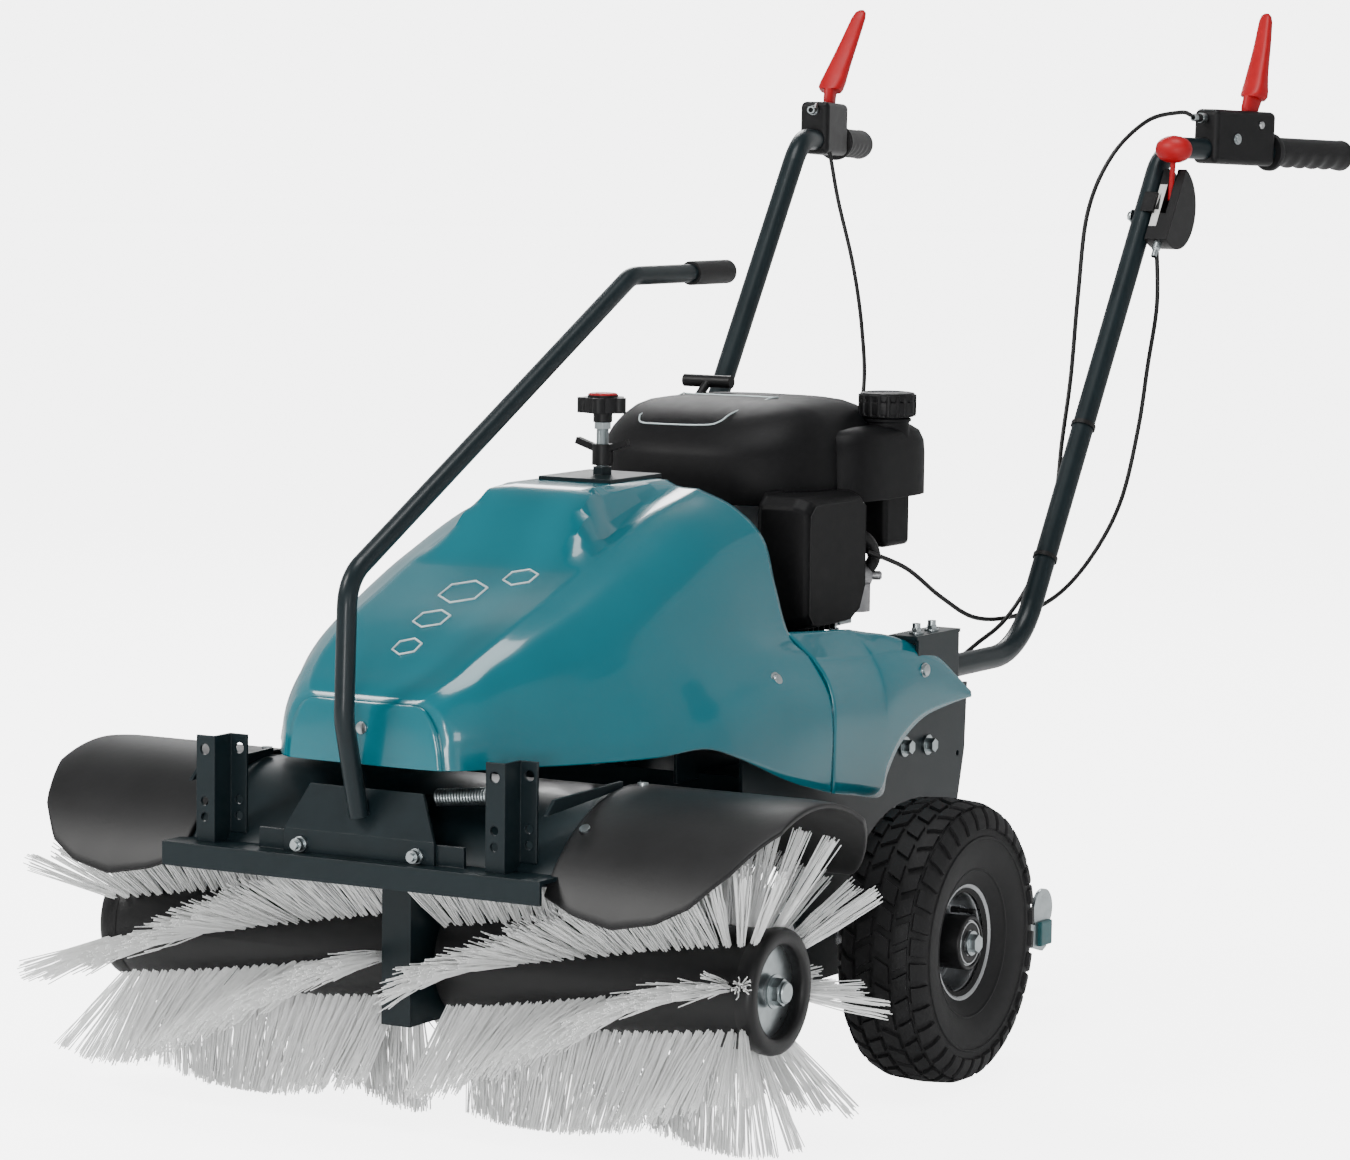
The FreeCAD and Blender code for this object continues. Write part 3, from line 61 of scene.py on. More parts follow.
# ------------------------------------------------------------------ materials
def make_material(name, color, rough, metal=0.0, vary=0.12, scale=60.0, bump=0.05, coat=0.0,
                  edge=0.0, shine=0.5):
    """Procedural finish: colour and roughness vary with noise, and fine noise gives relief."""
    mat = bpy.data.materials.new(name)
    mat.use_nodes = True
    tree = mat.node_tree
    links = tree.links
    shader = tree.nodes["Principled BSDF"]
    coords = tree.nodes.new("ShaderNodeTexCoord")
    noise = tree.nodes.new("ShaderNodeTexNoise")
    noise.inputs["Scale"].default_value = scale
    noise.inputs["Detail"].default_value = 6.0
    links.new(coords.outputs["Object"], noise.inputs["Vector"])
    ramp = tree.nodes.new("ShaderNodeValToRGB")
    dark = [c * (1 - vary) for c in color]
    light = [min(1.0, c * (1 + vary)) for c in color]
    ramp.color_ramp.elements[0].position = 0.3
    ramp.color_ramp.elements[0].color = (*dark, 1)
    ramp.color_ramp.elements[1].position = 0.7
    ramp.color_ramp.elements[1].color = (*light, 1)
    links.new(noise.outputs["Fac"], ramp.inputs["Fac"])
    links.new(ramp.outputs["Color"], shader.inputs["Base Color"])
    spread = tree.nodes.new("ShaderNodeMapRange")
    spread.inputs["To Min"].default_value = max(0.02, rough - 0.06)
    spread.inputs["To Max"].default_value = min(1.0, rough + 0.06)
    links.new(noise.outputs["Fac"], spread.inputs["Value"])
    links.new(spread.outputs["Result"], shader.inputs["Roughness"])
    shader.inputs["Metallic"].default_value = metal
    shader.inputs["Specular IOR Level"].default_value = shine
    shader.inputs["Coat Weight"].default_value = coat
    shader.inputs["Coat Roughness"].default_value = 0.05
    fine = tree.nodes.new("ShaderNodeTexNoise")
    fine.inputs["Scale"].default_value = scale * 12
    links.new(coords.outputs["Object"], fine.inputs["Vector"])
    relief = tree.nodes.new("ShaderNodeBump")
    relief.inputs["Strength"].default_value = bump
    relief.inputs["Distance"].default_value = 0.0006
    links.new(fine.outputs["Fac"], relief.inputs["Height"])
    if edge > 0:
        rounded = tree.nodes.new("ShaderNodeBevel")
        rounded.inputs["Radius"].default_value = edge
        links.new(rounded.outputs["Normal"], relief.inputs["Normal"])
    links.new(relief.outputs["Normal"], shader.inputs["Normal"])
    return mat


# Radius of the softened edges, in metres.
EDGE = 0.0014
FINE_EDGE = 0.0006
MATS = {
    "hood": make_material("hood_enamel", (0.0003, 0.118, 0.152), 0.24, vary=0.03, scale=8,
                          bump=0.0, coat=0.45, shine=0.35),
    "paint": make_material("dark_enamel", (0.005, 0.011, 0.0135), 0.36, vary=0.1, scale=30,
                           bump=0.04, coat=0.06, edge=EDGE, shine=0.22),
    "zinc": make_material("zinc_plate", (0.40, 0.44, 0.45), 0.3, metal=1.0, vary=0.12, scale=90,
                          edge=FINE_EDGE),
    # silver lacquer of the rim, its colour darkened to paint the shade in the wheel's deep recess
    "rim": make_material("silver_lacquer_painted_shade", (0.34, 0.35, 0.36), 0.28, metal=0.95, vary=0.05,
                         edge=EDGE),
    "steel": make_material("bright_steel", (0.5, 0.51, 0.52), 0.28, metal=1.0, edge=FINE_EDGE),
    "cast": make_material("cast_alloy", (0.38, 0.38, 0.39), 0.5, metal=0.9, bump=0.3, edge=EDGE),
    "plastic": make_material("black_moulding", (0.006, 0.006, 0.0065), 0.42, bump=0.25, edge=EDGE,
                             shine=0.2),
    "shroud": make_material("engine_moulding", (0.005, 0.005, 0.0056), 0.5, bump=0.3, scale=80,
                            edge=EDGE, shine=0.13),
    "red": make_material("red_moulding", (0.36, 0.002, 0.006), 0.42, vary=0.06, bump=0.1, edge=EDGE,
                         shine=0.25),
    "rubber": make_material("soft_rubber", (0.008, 0.008, 0.0085), 0.48, bump=0.2, scale=40,
                            edge=0.0008, shine=0.25),
    "guard": make_material("guard_rubber", (0.009, 0.009, 0.0095), 0.42, bump=0.12, scale=14,
                           vary=0.25, shine=0.25),
    "tyre": make_material("tyre_rubber", (0.008, 0.008, 0.0085), 0.62, bump=0.3, scale=50,
                          shine=0.25),
    "core": make_material("brush_core_black", (0.006, 0.006, 0.0065), 0.4, bump=0.15, edge=EDGE,
                          shine=0.3),
    "nylon": make_material("pale_nylon", (0.93, 0.94, 0.93), 0.4, vary=0.07, scale=120, bump=0.0),
    "cable": make_material("cable_sheath", (0.006, 0.006, 0.006), 0.38, bump=0.1, shine=0.3),
    "decal": make_material("silver_print", (0.55, 0.64, 0.65), 0.35, metal=0.2, vary=0.05),
    "white": make_material("white_print", (0.62, 0.62, 0.60), 0.5, vary=0.05),
    "nut_green": make_material("green_bar", (0.012, 0.10, 0.11), 0.35, vary=0.1, edge=EDGE),
}

NODE_FINISH = {
    "paint": ["side_plates", "deck_frame", "handle_brackets", "handle_tubes", "spindle_tower",
              "spindle_plate", "brush_boom", "gear_case", "head_cover", "front_bar", "uprights",
              "steering_lever", "guard_brackets"],
    "zinc": ["frame_bolts", "head_bolts", "axle_bolts", "brush_end_discs", "adjusting_rod",
             "rear_stand", "return_spring"],
    "steel": ["axle_bearings", "axle_shaft", "crankshaft", "gearbox_input", "brush_pulley",
              "pivot_shaft", "worm_shaft", "worm_wheel", "brush_shaft", "wheel_bearings_left",
              "wheel_bearings_right", "lift_tube", "muffler"],
    "cast": ["engine_block", "carburettor", "transaxle_case"],
    "rim": ["rim_left", "rim_right"],
    "tyre": ["tyre_left", "tyre_right"],
    "shroud": ["engine_shroud", "fuel_tank", "air_filter_cover"],
    "plastic": ["fuel_cap", "recoil_handle", "lever_housings", "throttle_housing", "star_knob",
                "wing_nut"],
    "red": ["clutch_lever_left", "clutch_lever_right", "throttle_lever"],
    "rubber": ["handle_grips", "swivel_grip", "drive_belts"],
    "guard": ["rubber_guard_left", "rubber_guard_right"],
    "core": ["brush_cores"],
    "nylon": ["bristles"],
    "hood": ["hood"],
}
for finish, nodes in NODE_FINISH.items():
    for node in nodes:
        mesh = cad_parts[node].data
        mesh.materials.clear()
        mesh.materials.append(MATS[finish])


# ------------------------------------------------------------------ mesh helpers
def add_mesh(name, verts, faces, finish, body, sharp=35.0):
    """Smooth-shaded piece that rides on a body; edges above the sharp angle stay crisp."""
    mesh = bpy.data.meshes.new(name)
    mesh.from_pydata([tuple(v) for v in verts], [], faces)
    mesh.validate()
    mesh.materials.append(MATS[finish])
    mesh.polygons.foreach_set("use_smooth", [True] * len(mesh.polygons))
    mesh.set_sharp_from_angle(angle=math.radians(sharp))
    obj = bpy.data.objects.new(name, mesh)
    bpy.context.scene.collection.objects.link(obj)
    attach(obj, body)
    return obj


def grid_faces(rows, cols, wrap_cols=False):
    """Quads between the vertices of a grid, closed round its columns if asked."""
    faces = []
    for i in range(rows - 1):
        for j in range(cols if wrap_cols else cols - 1):
            a = i * cols + j
            b = i * cols + (j + 1) % cols
            faces.append((a, b, b + cols, a + cols))
    return faces


def lathe(name, profile, centre, axis, finish, body, around=64, sharp=30.0):
    """Turned piece: profile is (along, radius) in mm from the centre along the axis."""
    side = axis.orthogonal().normalized()
    other = axis.cross(side)
    verts = []
    for along, radius in profile:
        for j in range(around):
            a = 2 * math.pi * j / around
            verts.append(centre + (axis * along + (side * math.cos(a) + other * math.sin(a))
                                   * radius) * MM)
    faces = grid_faces(len(profile), around, wrap_cols=True)
    return add_mesh(name, verts, faces, finish, body, sharp)


def smooth_path(points, per_span):
    """Catmull-Rom curve through the points."""
    out = []
    n = len(points)
    for i in range(n - 1):
        p0, p1 = points[max(i - 1, 0)], points[i]
        p2, p3 = points[i + 1], points[min(i + 2, n - 1)]
        for k in range(per_span):
            t = k / per_span
            out.append(0.5 * ((2 * p1) + (p2 - p0) * t + (2 * p0 - 5 * p1 + 4 * p2 - p3) * t * t
                              + (3 * p1 - p0 - 3 * p2 + p3) * t ** 3))
    out.append(points[-1])
    return out


def tube(name, points, radius, finish, body, per_span=12):
    """Round bar or cable through the points; radius in mm."""
    path = smooth_path(points, per_span)
    curve = bpy.data.curves.new(name, "CURVE")
    curve.dimensions = "3D"
    curve.bevel_depth = radius * MM
    curve.bevel_resolution = 3
    curve.use_fill_caps = True
    spline = curve.splines.new("POLY")
    spline.points.add(len(path) - 1)
    for point, place in zip(spline.points, path):
        point.co = (*place, 1)
    curve.materials.append(MATS[finish])
    obj = bpy.data.objects.new(name, curve)
    bpy.context.scene.collection.objects.link(obj)
    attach(obj, body)


def prism(points, direction):
    """Vertices and faces of a polygon pushed along a direction."""
    n = len(points)
    verts = list(points) + [p + direction for p in points]
    faces = [tuple(range(n))[::-1], tuple(range(n, 2 * n))]
    faces += [(i, (i + 1) % n, n + (i + 1) % n, n + i) for i in range(n)]
    return verts, faces


def bevel(obj, width, segments=3, angle=30.0):
    """Round the edges above an angle; width in mm."""
    mod = obj.modifiers.new("rounding", "BEVEL")
    mod.width = width * MM
    mod.segments = segments
    mod.limit_method = "ANGLE"
    mod.angle_limit = math.radians(angle)
    mod.harden_normals = True
    return obj


def thicken(obj, thickness, offset):
    """Give an open sheet a thickness in mm."""
    mod = obj.modifiers.new("sheet", "SOLIDIFY")
    mod.thickness = thickness * MM
    mod.offset = offset


def block(name, low, high, finish, body, width=2.0):
    """Rounded block between two corners given in mm from the axle."""
    (x0, y0, z0), (x1, y1, z1) = low, high
    points = [at(x0, y0, z0), at(x1, y0, z0), at(x1, y1, z0), at(x0, y1, z0)]
    verts, faces = prism(points, Vector((0, 0, (z1 - z0) * MM)))
    return bevel(add_mesh(name, verts, faces, finish, body), width)


def hex_nut(name, centre, axis):
    """Zinc nut, 10 mm across the flats, with a chamfered top and a round washer under it."""
    flats, height, washer = 10, 6, 8
    side = axis.orthogonal().normalized()
    other = axis.cross(side)
    verts = []
    for along, scale in ((0.0, 1.0), (height * 0.82, 1.0), (height, 0.86)):
        for j in range(6):
            a = math.pi * j / 3
            verts.append(centre + (axis * along + (side * math.cos(a) + other * math.sin(a))
                                   * (flats / 2 / math.cos(math.pi / 6)) * scale) * MM)
    faces = grid_faces(3, 6, wrap_cols=True) + [tuple(range(12, 18))]
    add_mesh(name, verts, faces, "zinc", "chassis")
    disc = [(-0.1, 0.5), (-0.1, washer), (1.6, washer), (1.8, washer - 0.4), (1.8, 0.5)]
    lathe(name + "_washer", disc, centre, axis, "zinc", "chassis", around=40)


# ------------------------------------------------------------------ hood
# Stations of the hood: distance from the axle, then (half width, height) from the crease of the
# flat top down the side to the lower edge.
HOOD = [
    (-586, (64, 439), (73, 435), (80, 427), (86, 416), (89, 406), (91, 397), (92, 388), (93, 378)),
    (-584, (68, 443), (79, 438), (87, 429), (91, 418), (94, 408), (95, 398), (96, 388), (97, 378)),
    (-580, (72, 447), (83, 441), (91, 431), (96, 420), (99, 409), (100, 399), (101, 388), (102, 378)),
    (-572, (77, 453), (89, 446), (97, 434), (103, 421), (106, 410), (107, 399), (108, 388),
     (109, 378)),
    (-550, (86, 465), (100, 457), (110, 443), (117, 428), (121, 414), (123, 402), (124, 390),
     (125, 378)),
    (-520, (92, 482), (108, 472), (121, 455), (130, 436), (136, 419), (140, 404), (143, 391),
     (144, 378)),
    (-476, (98, 503), (120, 491), (138, 470), (151, 447), (161, 426), (168, 408), (173, 393),
     (176, 378)),
    (-400, (102, 532), (130, 519), (155, 495), (175, 467), (190, 441), (203, 419), (214, 399),
     (222, 380)),
    (-340, (104, 555), (134, 542), (163, 515), (184, 483), (202, 452), (219, 426), (234, 403),
     (244, 384)),
    (-300, (104, 568), (137, 555), (168, 526), (188, 492), (206, 461), (226, 434), (246, 406),
     (257, 372)),
    (-200, (103, 600), (138, 588), (170, 559), (189, 521), (205, 482), (228, 450), (254, 414),
     (262, 336)),
    (-108, (101, 619), (142, 603), (177, 572), (192, 523), (209, 474), (238, 448), (262, 401),
     (262, 312)),
]
# Raised seat of the spindle on the hood: where it starts and reaches its top, and its half widths.
SEAT = {"front": -350.0, "top_front": -246.0, "half": 84.0, "top_half": 56.0, "top": 628.0}
HOOD_SIDE = 262


def station_at(y):
    """Half section of the hood at a distance, interpolated between the stations."""
    ys = [s[0] for s in HOOD]
    i = max(0, min(len(ys) - 2, sum(1 for v in ys if v <= y) - 1))
    t = (y - ys[i]) / (ys[i + 1] - ys[i])
    picks = [HOOD[max(i - 1, 0)], HOOD[i], HOOD[i + 1], HOOD[min(i + 2, len(HOOD) - 1)]]
    out = []
    for k in range(1, 9):
        p0, p1, p2, p3 = [np.array(s[k], float) for s in picks]
        m1 = (p2 - p0) / (picks[2][0] - picks[0][0]) * (ys[i + 1] - ys[i])
        m2 = (p3 - p1) / (picks[3][0] - picks[1][0]) * (ys[i + 1] - ys[i])
        start = (2 * t ** 3 - 3 * t ** 2 + 1) * p1 + (t ** 3 - 2 * t ** 2 + t) * m1
        out.append(start + (-2 * t ** 3 + 3 * t ** 2) * p2 + (t ** 3 - t ** 2) * m2)
    return out


def ease(t):
    """Smooth step from 0 to 1."""
    t = max(0.0, min(1.0, t))
    return t * t * (3 - 2 * t)


def hood_top(x, y, z_flat):
    """Height of the top panel with the raised seat of the adjusting spindle."""
    flank = 22.0
    rise = (y - SEAT["front"]) / (SEAT["top_front"] - SEAT["front"])
    half = SEAT["top_half"] + (SEAT["half"] - SEAT["top_half"]) * (1 - max(0, min(1, rise)))
    across = 1 - ease((abs(x) - half) / flank)
    height = z_flat + (SEAT["top"] - z_flat) * ease(rise * 0.9 + 0.05 if rise > 0 else 0)
    return z_flat + (max(height, z_flat) - z_flat) * across


def make_hood():
    """Hood shell: a flat top, sides that swell over the frame, and a closed bulged nose."""
    ys = [-586, -585, -584, -583, -582, -580, -577] + list(np.linspace(-573, -108, 94))
    top_steps = (0, .12, .25, .37, .5, .6, .7, .8, .9, .97)
    crown, bulge = 1.2, 4.0
    verts, cols, side_count = [], 0, 0
    for y in ys:
        side = station_at(y)
        crease_x, crease_z = side[0]
        half = [(crease_x * t, crease_z + crown) for t in top_steps]
        curve = smooth_path([Vector((p[0], p[1], 0)) for p in side], 7)
        half += [(p.x, p.y) for p in curve]
        full = [(-x, z) for x, z in reversed(half[1:])] + half
        cols, side_count = len(full), len(curve)
        for x, z in full:
            if abs(x) <= crease_x:
                z = hood_top(x, y, z)
            verts.append(at(x, y, z))
    faces = grid_faces(len(ys), cols)
    # nose: the front section closes with a bulged face that shares the section's rim
    across = cols - 2 * side_count + 2
    left_x, right_x = verts[side_count - 1].x, verts[cols - side_count].x
    index = {}
    for k in range(side_count):
        for i in range(across):
            if k == side_count - 1:
                index[k, i] = k + i
            elif i in (0, across - 1):
                index[k, i] = cols - 1 - k if i else k
            else:
                t = (verts[side_count - 1 + i].x - left_x) / (right_x - left_x)
                p = verts[k].lerp(verts[cols - 1 - k], t)
                high = k / (side_count - 1)
                p.y -= bulge * MM * (1 - (2 * t - 1) ** 4) * (1 - high ** 5)
                index[k, i] = len(verts)
                verts.append(p)
    for k in range(side_count - 1):
        for i in range(across - 1):
            faces.append((index[k, i + 1], index[k, i], index[k + 1, i], index[k + 1, i + 1]))
    hood = add_mesh("hood_shell", verts, faces, "hood", "chassis", sharp=32)
    thicken(hood, SHEET, -1)
    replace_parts(hood, "hood")


def make_under_hood_shade(side, tag):
    """Dark panels inside the hood that paint the shade under it and close the view between its edge
    and the brush guard.
    """
    low, high = sorted((side * 146, side * 150))
    block("under_hood_shade_rail_" + tag, (low, -400, 366), (high, -70, 400), "paint", "chassis", 1)
    block("under_hood_shade_web_" + tag, (low, -236, 328), (high, -70, 368), "paint", "chassis", 1)


# Rear skirt: distance, lower edge, top edge, and how far the top edge leans in.
SKIRT = [(-108, 312, 474, 53), (-60, 304, 471, 47), (-2, 296, 468, 40), (12, 318, 466, 38),
         (36, 343, 462, 34), (66, 360, 457, 26), (100, 371, 446, 14), (140, 376, 430, 6),
         (180, 379, 404, 2), (206, 380, 386, 0)]


def make_skirt(side, tag):
    """Skirt that sweeps back over the wheel, with a crease below its rolled top."""
    out = HOOD_SIDE
    rows = []
    for y, low, high, lean in SKIRT:
        tall = high - low
        points = [(out, low), (out + 0.5, low + 0.3 * tall), (out, low + 0.55 * tall),
                  (out - 0.16 * lean, low + 0.72 * tall), (out - 0.42 * lean, low + 0.83 * tall),
                  (out - 0.5 * lean, low + 0.86 * tall), (out - lean, high - 2),
                  (out - lean - 5, high), (out - lean - 8, high - 6)]
        rows.append([Vector((u, y, v)) for u, v in points])
    columns = [smooth_path(column, 6) for column in zip(*rows)]
    count = len(columns[0])
    verts = []
    for i in range(count):
        profile = smooth_path([column[i] for column in columns], 3)
        verts += [at(side * p.x, p.y, p.z) for p in profile]
    cols = len(verts) // count
    skirt = add_mesh("hood_skirt_" + tag, verts, grid_faces(count, cols), "hood", "chassis", 40)
    thicken(skirt, SHEET, 0)


def make_decals():
    """Row of hexagon outlines on the top panel."""
    outlines = ((1.5, -515, 15), (-2, -465, 19), (-2, -407, 25), (43, -370, 18))
    for i, (x, y, r) in enumerate(outlines):
        here, beyond = [float(station_at(v)[0][1]) for v in (y, y + 20)]
        z = here + 2.0
        ahead = (at(0, y + 20, beyond) - at(0, y, here)).normalized()
        points = []
        for k in range(7):
            a = math.pi * k / 3 + 0.5
            points.append(at(x, y, z) + (Vector((1, 0, 0)) * math.cos(a) + ahead * math.sin(a))
                          * r * MM)
        tube("decal_hexagon_%d" % (i + 1), points, 1.1, "decal", "chassis", per_span=1)


# ------------------------------------------------------------------ wheels
TYRE_PROFILE = [(-27, 52), (-30, 57), (-32.5, 64), (-38, 72), (-43.5, 84), (-46.5, 96), (-48, 110),
                (-47.5, 121), (-45, 131), (-39.5, 139), (-30, 143.5), (-16, 145.3), (0, 145.8),
                (16, 145.3), (30, 143.5), (39.5, 139), (45, 131), (47.5, 121), (48, 110),
                (46.5, 96), (43.5, 84), (38, 72), (32.5, 64), (30, 57), (27, 52)]


def tread_surface(t, depth):
    """Point (across, radius) on the tread for t from -1 to 1, raised by depth."""
    key = [(-1.0, -47.6, 118), (-0.8, -45, 131), (-0.62, -39.5, 139), (-0.4, -28, 144),
           (0.0, 0, 145.8), (0.4, 28, 144), (0.62, 39.5, 139), (0.8, 45, 131), (1.0, 47.6, 118)]
    ts = [k[0] for k in key]
    u = float(np.interp(t, ts, [k[1] for k in key]))
    r = float(np.interp(t, ts, [k[2] for k in key]))
    e = 0.02
    du = float(np.interp(t + e, ts, [k[1] for k in key]) - np.interp(t - e, ts, [k[1] for k in key]))
    dr = float(np.interp(t + e, ts, [k[2] for k in key]) - np.interp(t - e, ts, [k[2] for k in key]))
    n = math.hypot(du, dr) or 1.0
    return u - dr / n * depth, r + du / n * depth


def make_tyre(side, tag):
    """Tyre carcass, its tread blocks in three bands on each half, and its side wall rings."""
    name, body = "tyre_shell_" + tag, "wheel_" + tag
    centre = at(side * WHEEL_X, 0, WHEEL_Z)
    axis = Vector((side, 0, 0))
    carcass = lathe(name, TYRE_PROFILE, centre, axis, "tyre", body, around=96, sharp=50)
    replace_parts(carcass, "tyre_" + tag)
    count = 34
    pitch = 2 * math.pi / count
    # each band of blocks: inner and outer edge, shift round the tyre and slant
    bands = [(0.03, 0.27, 0.0, 0.32), (0.32, 0.56, 0.5, -0.3), (0.6, 0.97, 0.05, 0.12)]
    sunk, raised = -0.6, 3.9
    verts, faces = [], []
    for i in range(count):
        for t0, t1, shift, slant in bands:
            for sign in (1, -1):
                start = len(verts)
                first = (i + shift + (0.5 if sign < 0 else 0.0)) * pitch
                for depth in (sunk, raised):
                    inset = 0.0 if depth < 0 else 0.035
                    for a in range(4):
                        for b in range(3):
                            fa = inset + (1 - 2 * inset) * a / 3
                            fb = inset * 1.5 + (1 - 3 * inset) * b / 2
                            t = sign * (t0 + (t1 - t0) * fa)
                            phi = first + pitch * (0.74 * fb + slant * (fa - 0.5))
                            u, r = tread_surface(t, depth)
                            verts.append(centre + Vector((side * u, r * math.cos(phi),
                                                          r * math.sin(phi))) * MM)
                top = start + 12
                for a in range(3):
                    for b in range(2):
                        k = top + a * 3 + b
                        faces.append((k, k + 1, k + 4, k + 3))
                edge = [0, 1, 2, 5, 8, 11, 10, 9, 6, 3]
                for k in range(10):
                    p, q = edge[k], edge[(k + 1) % 10]
                    faces.append((start + p, start + q, top + q, top + p))
    add_mesh(name + "_tread", verts, faces, "tyre", body, sharp=30)
    for r, u in ((78, 41.0), (112, 48.6)):
        ring = [(u - 1, r - 2), (u + 0.6, r - 0.8), (u + 0.6, r + 0.8), (u - 1, r + 2)]
        lathe("%s_ring_%d" % (name, r), ring, centre, axis, "tyre", body, around=96)


def make_wheel_details(side, tag):
    """Pressed rim with a deep recess, the dark hub tube, its bearing ring and the valve."""
    body = "wheel_" + tag
    centre = at(side * WHEEL_X, 0, WHEEL_Z)
    axis = Vector((side, 0, 0))
    rim = [(5, 28.3), (3, 31), (0, 36), (-2.5, 41), (-4.5, 45), (-3.5, 47.6), (2, 49.2),
           (16, 50.4), (24, 52), (28.4, 55), (30.6, 57.8), (31.8, 59.8), (31.6, 61.2), (30, 62),
           (27.6, 61), (26.4, 58), (25.6, 53), (24, 52), (-24, 52), (-26, 54), (-27.4, 60),
           (-29.6, 60.8), (-30.4, 58), (-29, 53), (-26, 50), (-12, 48.8), (-8.6, 46), (-7, 41),
           (-3, 34), (0, 28.3)]
    shell = lathe("rim_shell_" + tag, rim, centre, axis, "rim", body, around=96, sharp=50)
    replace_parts(shell, "rim_" + tag)
    hub = [(-37, 24.1), (-38, 24.6), (-38, 28), (36.8, 28.6), (38.6, 28.2), (39.2, 27.2),
           (39.2, 25), (37.0, 24.1)]
    lathe("hub_tube_" + tag, hub, centre, axis, "core", body, around=64, sharp=50)
    seal = [(36.5, 13.5), (38.3, 13.8), (38.3, 20.6), (37.0, 21)]
    lathe("bearing_seal_" + tag, seal, centre, axis, "rubber", body, around=48)
    race = [(37.2, 21), (38.6, 21.3), (38.6, 22.6), (37.2, 23)]
    lathe("bearing_race_" + tag, race, centre, axis, "steel", body, around=48)
    place = centre + Vector((side * 0.001, 0.03, 0.028))
    valve = [(0, 3.6), (9, 3.2), (10, 2.4), (20, 2.2), (21, 3), (27, 3), (28, 2.2), (28, 0.1)]
    lathe("valve_" + tag, valve, place, axis, "rubber", body, around=20)


# ------------------------------------------------------------------ brush
ROWS = 8
# Twist of a row along a core, and where the rows start on each core, in degrees.
ROW_TWIST = 66.0
ROW_PHASE = {1: 60.0, -1: 94.0}
CORE_START, CORE_LENGTH = 24, 359
TUFTS, TUFT_START, TUFT_PITCH, TUFT_RADIUS = 28, 31, 12.6, 4.3
PER_TUFT = 26
BRISTLE_ROOT, BRISTLE_LENGTH, BRISTLE_REACH = 57, 107, 164.0
BRISTLE_RADII = (0.8, 0.75, 0.62)
BOOM_CLEARANCE = 20.0


def bristle_points():
    """Root, middle and tip of every bristle, in mm from the brush axis."""
    rng = np.random.default_rng(3)
    sideways = np.array([1, 0, 0])
    points = []
    for side, row, i in itertools.product((1, -1), range(ROWS), range(TUFTS)):
        x = TUFT_START + i * TUFT_PITCH
        # angle up from straight ahead, growing along +X on both cores
        along = x - CORE_START if side > 0 else BRUSH_END - x
        turn = math.radians(ROW_PHASE[side] - ROW_TWIST + row * 360 / ROWS
                            + ROW_TWIST * along / CORE_LENGTH)
        radial = np.array([0, -math.cos(turn), math.sin(turn)])
        across = np.array([0, math.sin(turn), math.cos(turn)])
        # the tufts at the outer end fan outwards, and the inner ones lean over the gap
        out_x = 0.0
        if x > 335:
            out_x = 0.56 * ((x - 335) / 37) ** 1.3
        if x < 50:
            out_x = -0.06 * (50 - x) / 19
        lean = rng.normal(0, 0.02, 2)
        for _ in range(PER_TUFT):
            r, a = TUFT_RADIUS * math.sqrt(rng.random()), rng.random() * 2 * math.pi
            du, dv = r * math.cos(a), r * math.sin(a)
            root = radial * BRISTLE_ROOT + sideways * (x + du) * side + across * dv
            fan_x = side * (out_x + du * 0.016) + lean[0] + rng.normal(0, 0.018)
            fan_t = dv * 0.018 + lean[1] + rng.normal(0, 0.018)
            way = radial + sideways * fan_x + across * fan_t
            way = way / np.linalg.norm(way)
            length = BRISTLE_LENGTH + rng.normal(0, 1.6)
            bend = rng.normal(0, 1.3, 2)
            tip = root + way * length
            far = math.hypot(tip[1], tip[2])
            if far > BRISTLE_REACH:
                tip = root + way * length * (BRISTLE_REACH / far)
            middle = (root + tip) / 2 + across * bend[0] + sideways * bend[1]
            for point in (middle, tip):
                point[0] = side * max(side * point[0], BOOM_CLEARANCE)
            points.append((root, middle, tip))
    return np.array(points)


def make_bristles():
    """Tufts of thick nylon in spiral rows: each bristle is a thin three-sided bent rod."""
    points = bristle_points()
    count = len(points)
    ways = points[:, 2] - points[:, 0]
    ways /= np.linalg.norm(ways, axis=1)[:, None]
    help_axis = np.where(np.abs(ways[:, :1]) < 0.7, [[1.0, 0, 0]], [[0, 1.0, 0]])
    side_a = np.cross(ways, help_axis)
    side_a /= np.linalg.norm(side_a, axis=1)[:, None]
    side_b = np.cross(ways, side_a)
    verts = np.zeros((count, 3, 3, 3))
    for k, radius in enumerate(BRISTLE_RADII):
        for j in range(3):
            a = 2 * math.pi * j / 3
            verts[:, k, j] = points[:, k] + radius * (side_a * math.cos(a) + side_b * math.sin(a))
    verts[..., 1] += BRUSH_Y
    verts[..., 2] += BRUSH_Z
    verts = verts.reshape(-1, 3) * MM
    verts[:, 1] += AXLE_Y
    base = (np.arange(count) * 9)[:, None]
    quads = []
    for k in range(2):
        for j in range(3):
            n = (j + 1) % 3
            quads.append(base + np.array([[k * 3 + j, k * 3 + n, k * 3 + 3 + n, k * 3 + 3 + j]]))
    quads = np.concatenate(quads)
    caps = base + np.array([[6, 7, 8]])
    faces = [tuple(q) for q in quads.tolist()] + [tuple(c) for c in caps.tolist()]
    tufts = add_mesh("bristle_tufts", verts, faces, "nylon", "brush", sharp=60)
    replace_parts(tufts, "bristles")


def make_core_details(side, tag):
    """Rounded outer rim of a core, and the shaft end in it."""
    centre = at(side * BRUSH_END, BRUSH_Y, BRUSH_Z)
    axis = Vector((side, 0, 0))
    rim = [(-16, 60.5), (-9, 62.5), (-2, 63), (2.6, 61.5), (4.4, 58), (4.4, 50), (3.2, 47),
           (0, 45.5), (-10, 45.5)]
    lathe("core_rim_" + tag, rim, centre, axis, "core", "brush", around=72, sharp=60)
    end = [(-6, 11), (9, 11), (10.5, 9.5), (10.5, 0.1)]
    lathe("shaft_end_" + tag, end, centre, axis, "zinc", "brush", around=40)


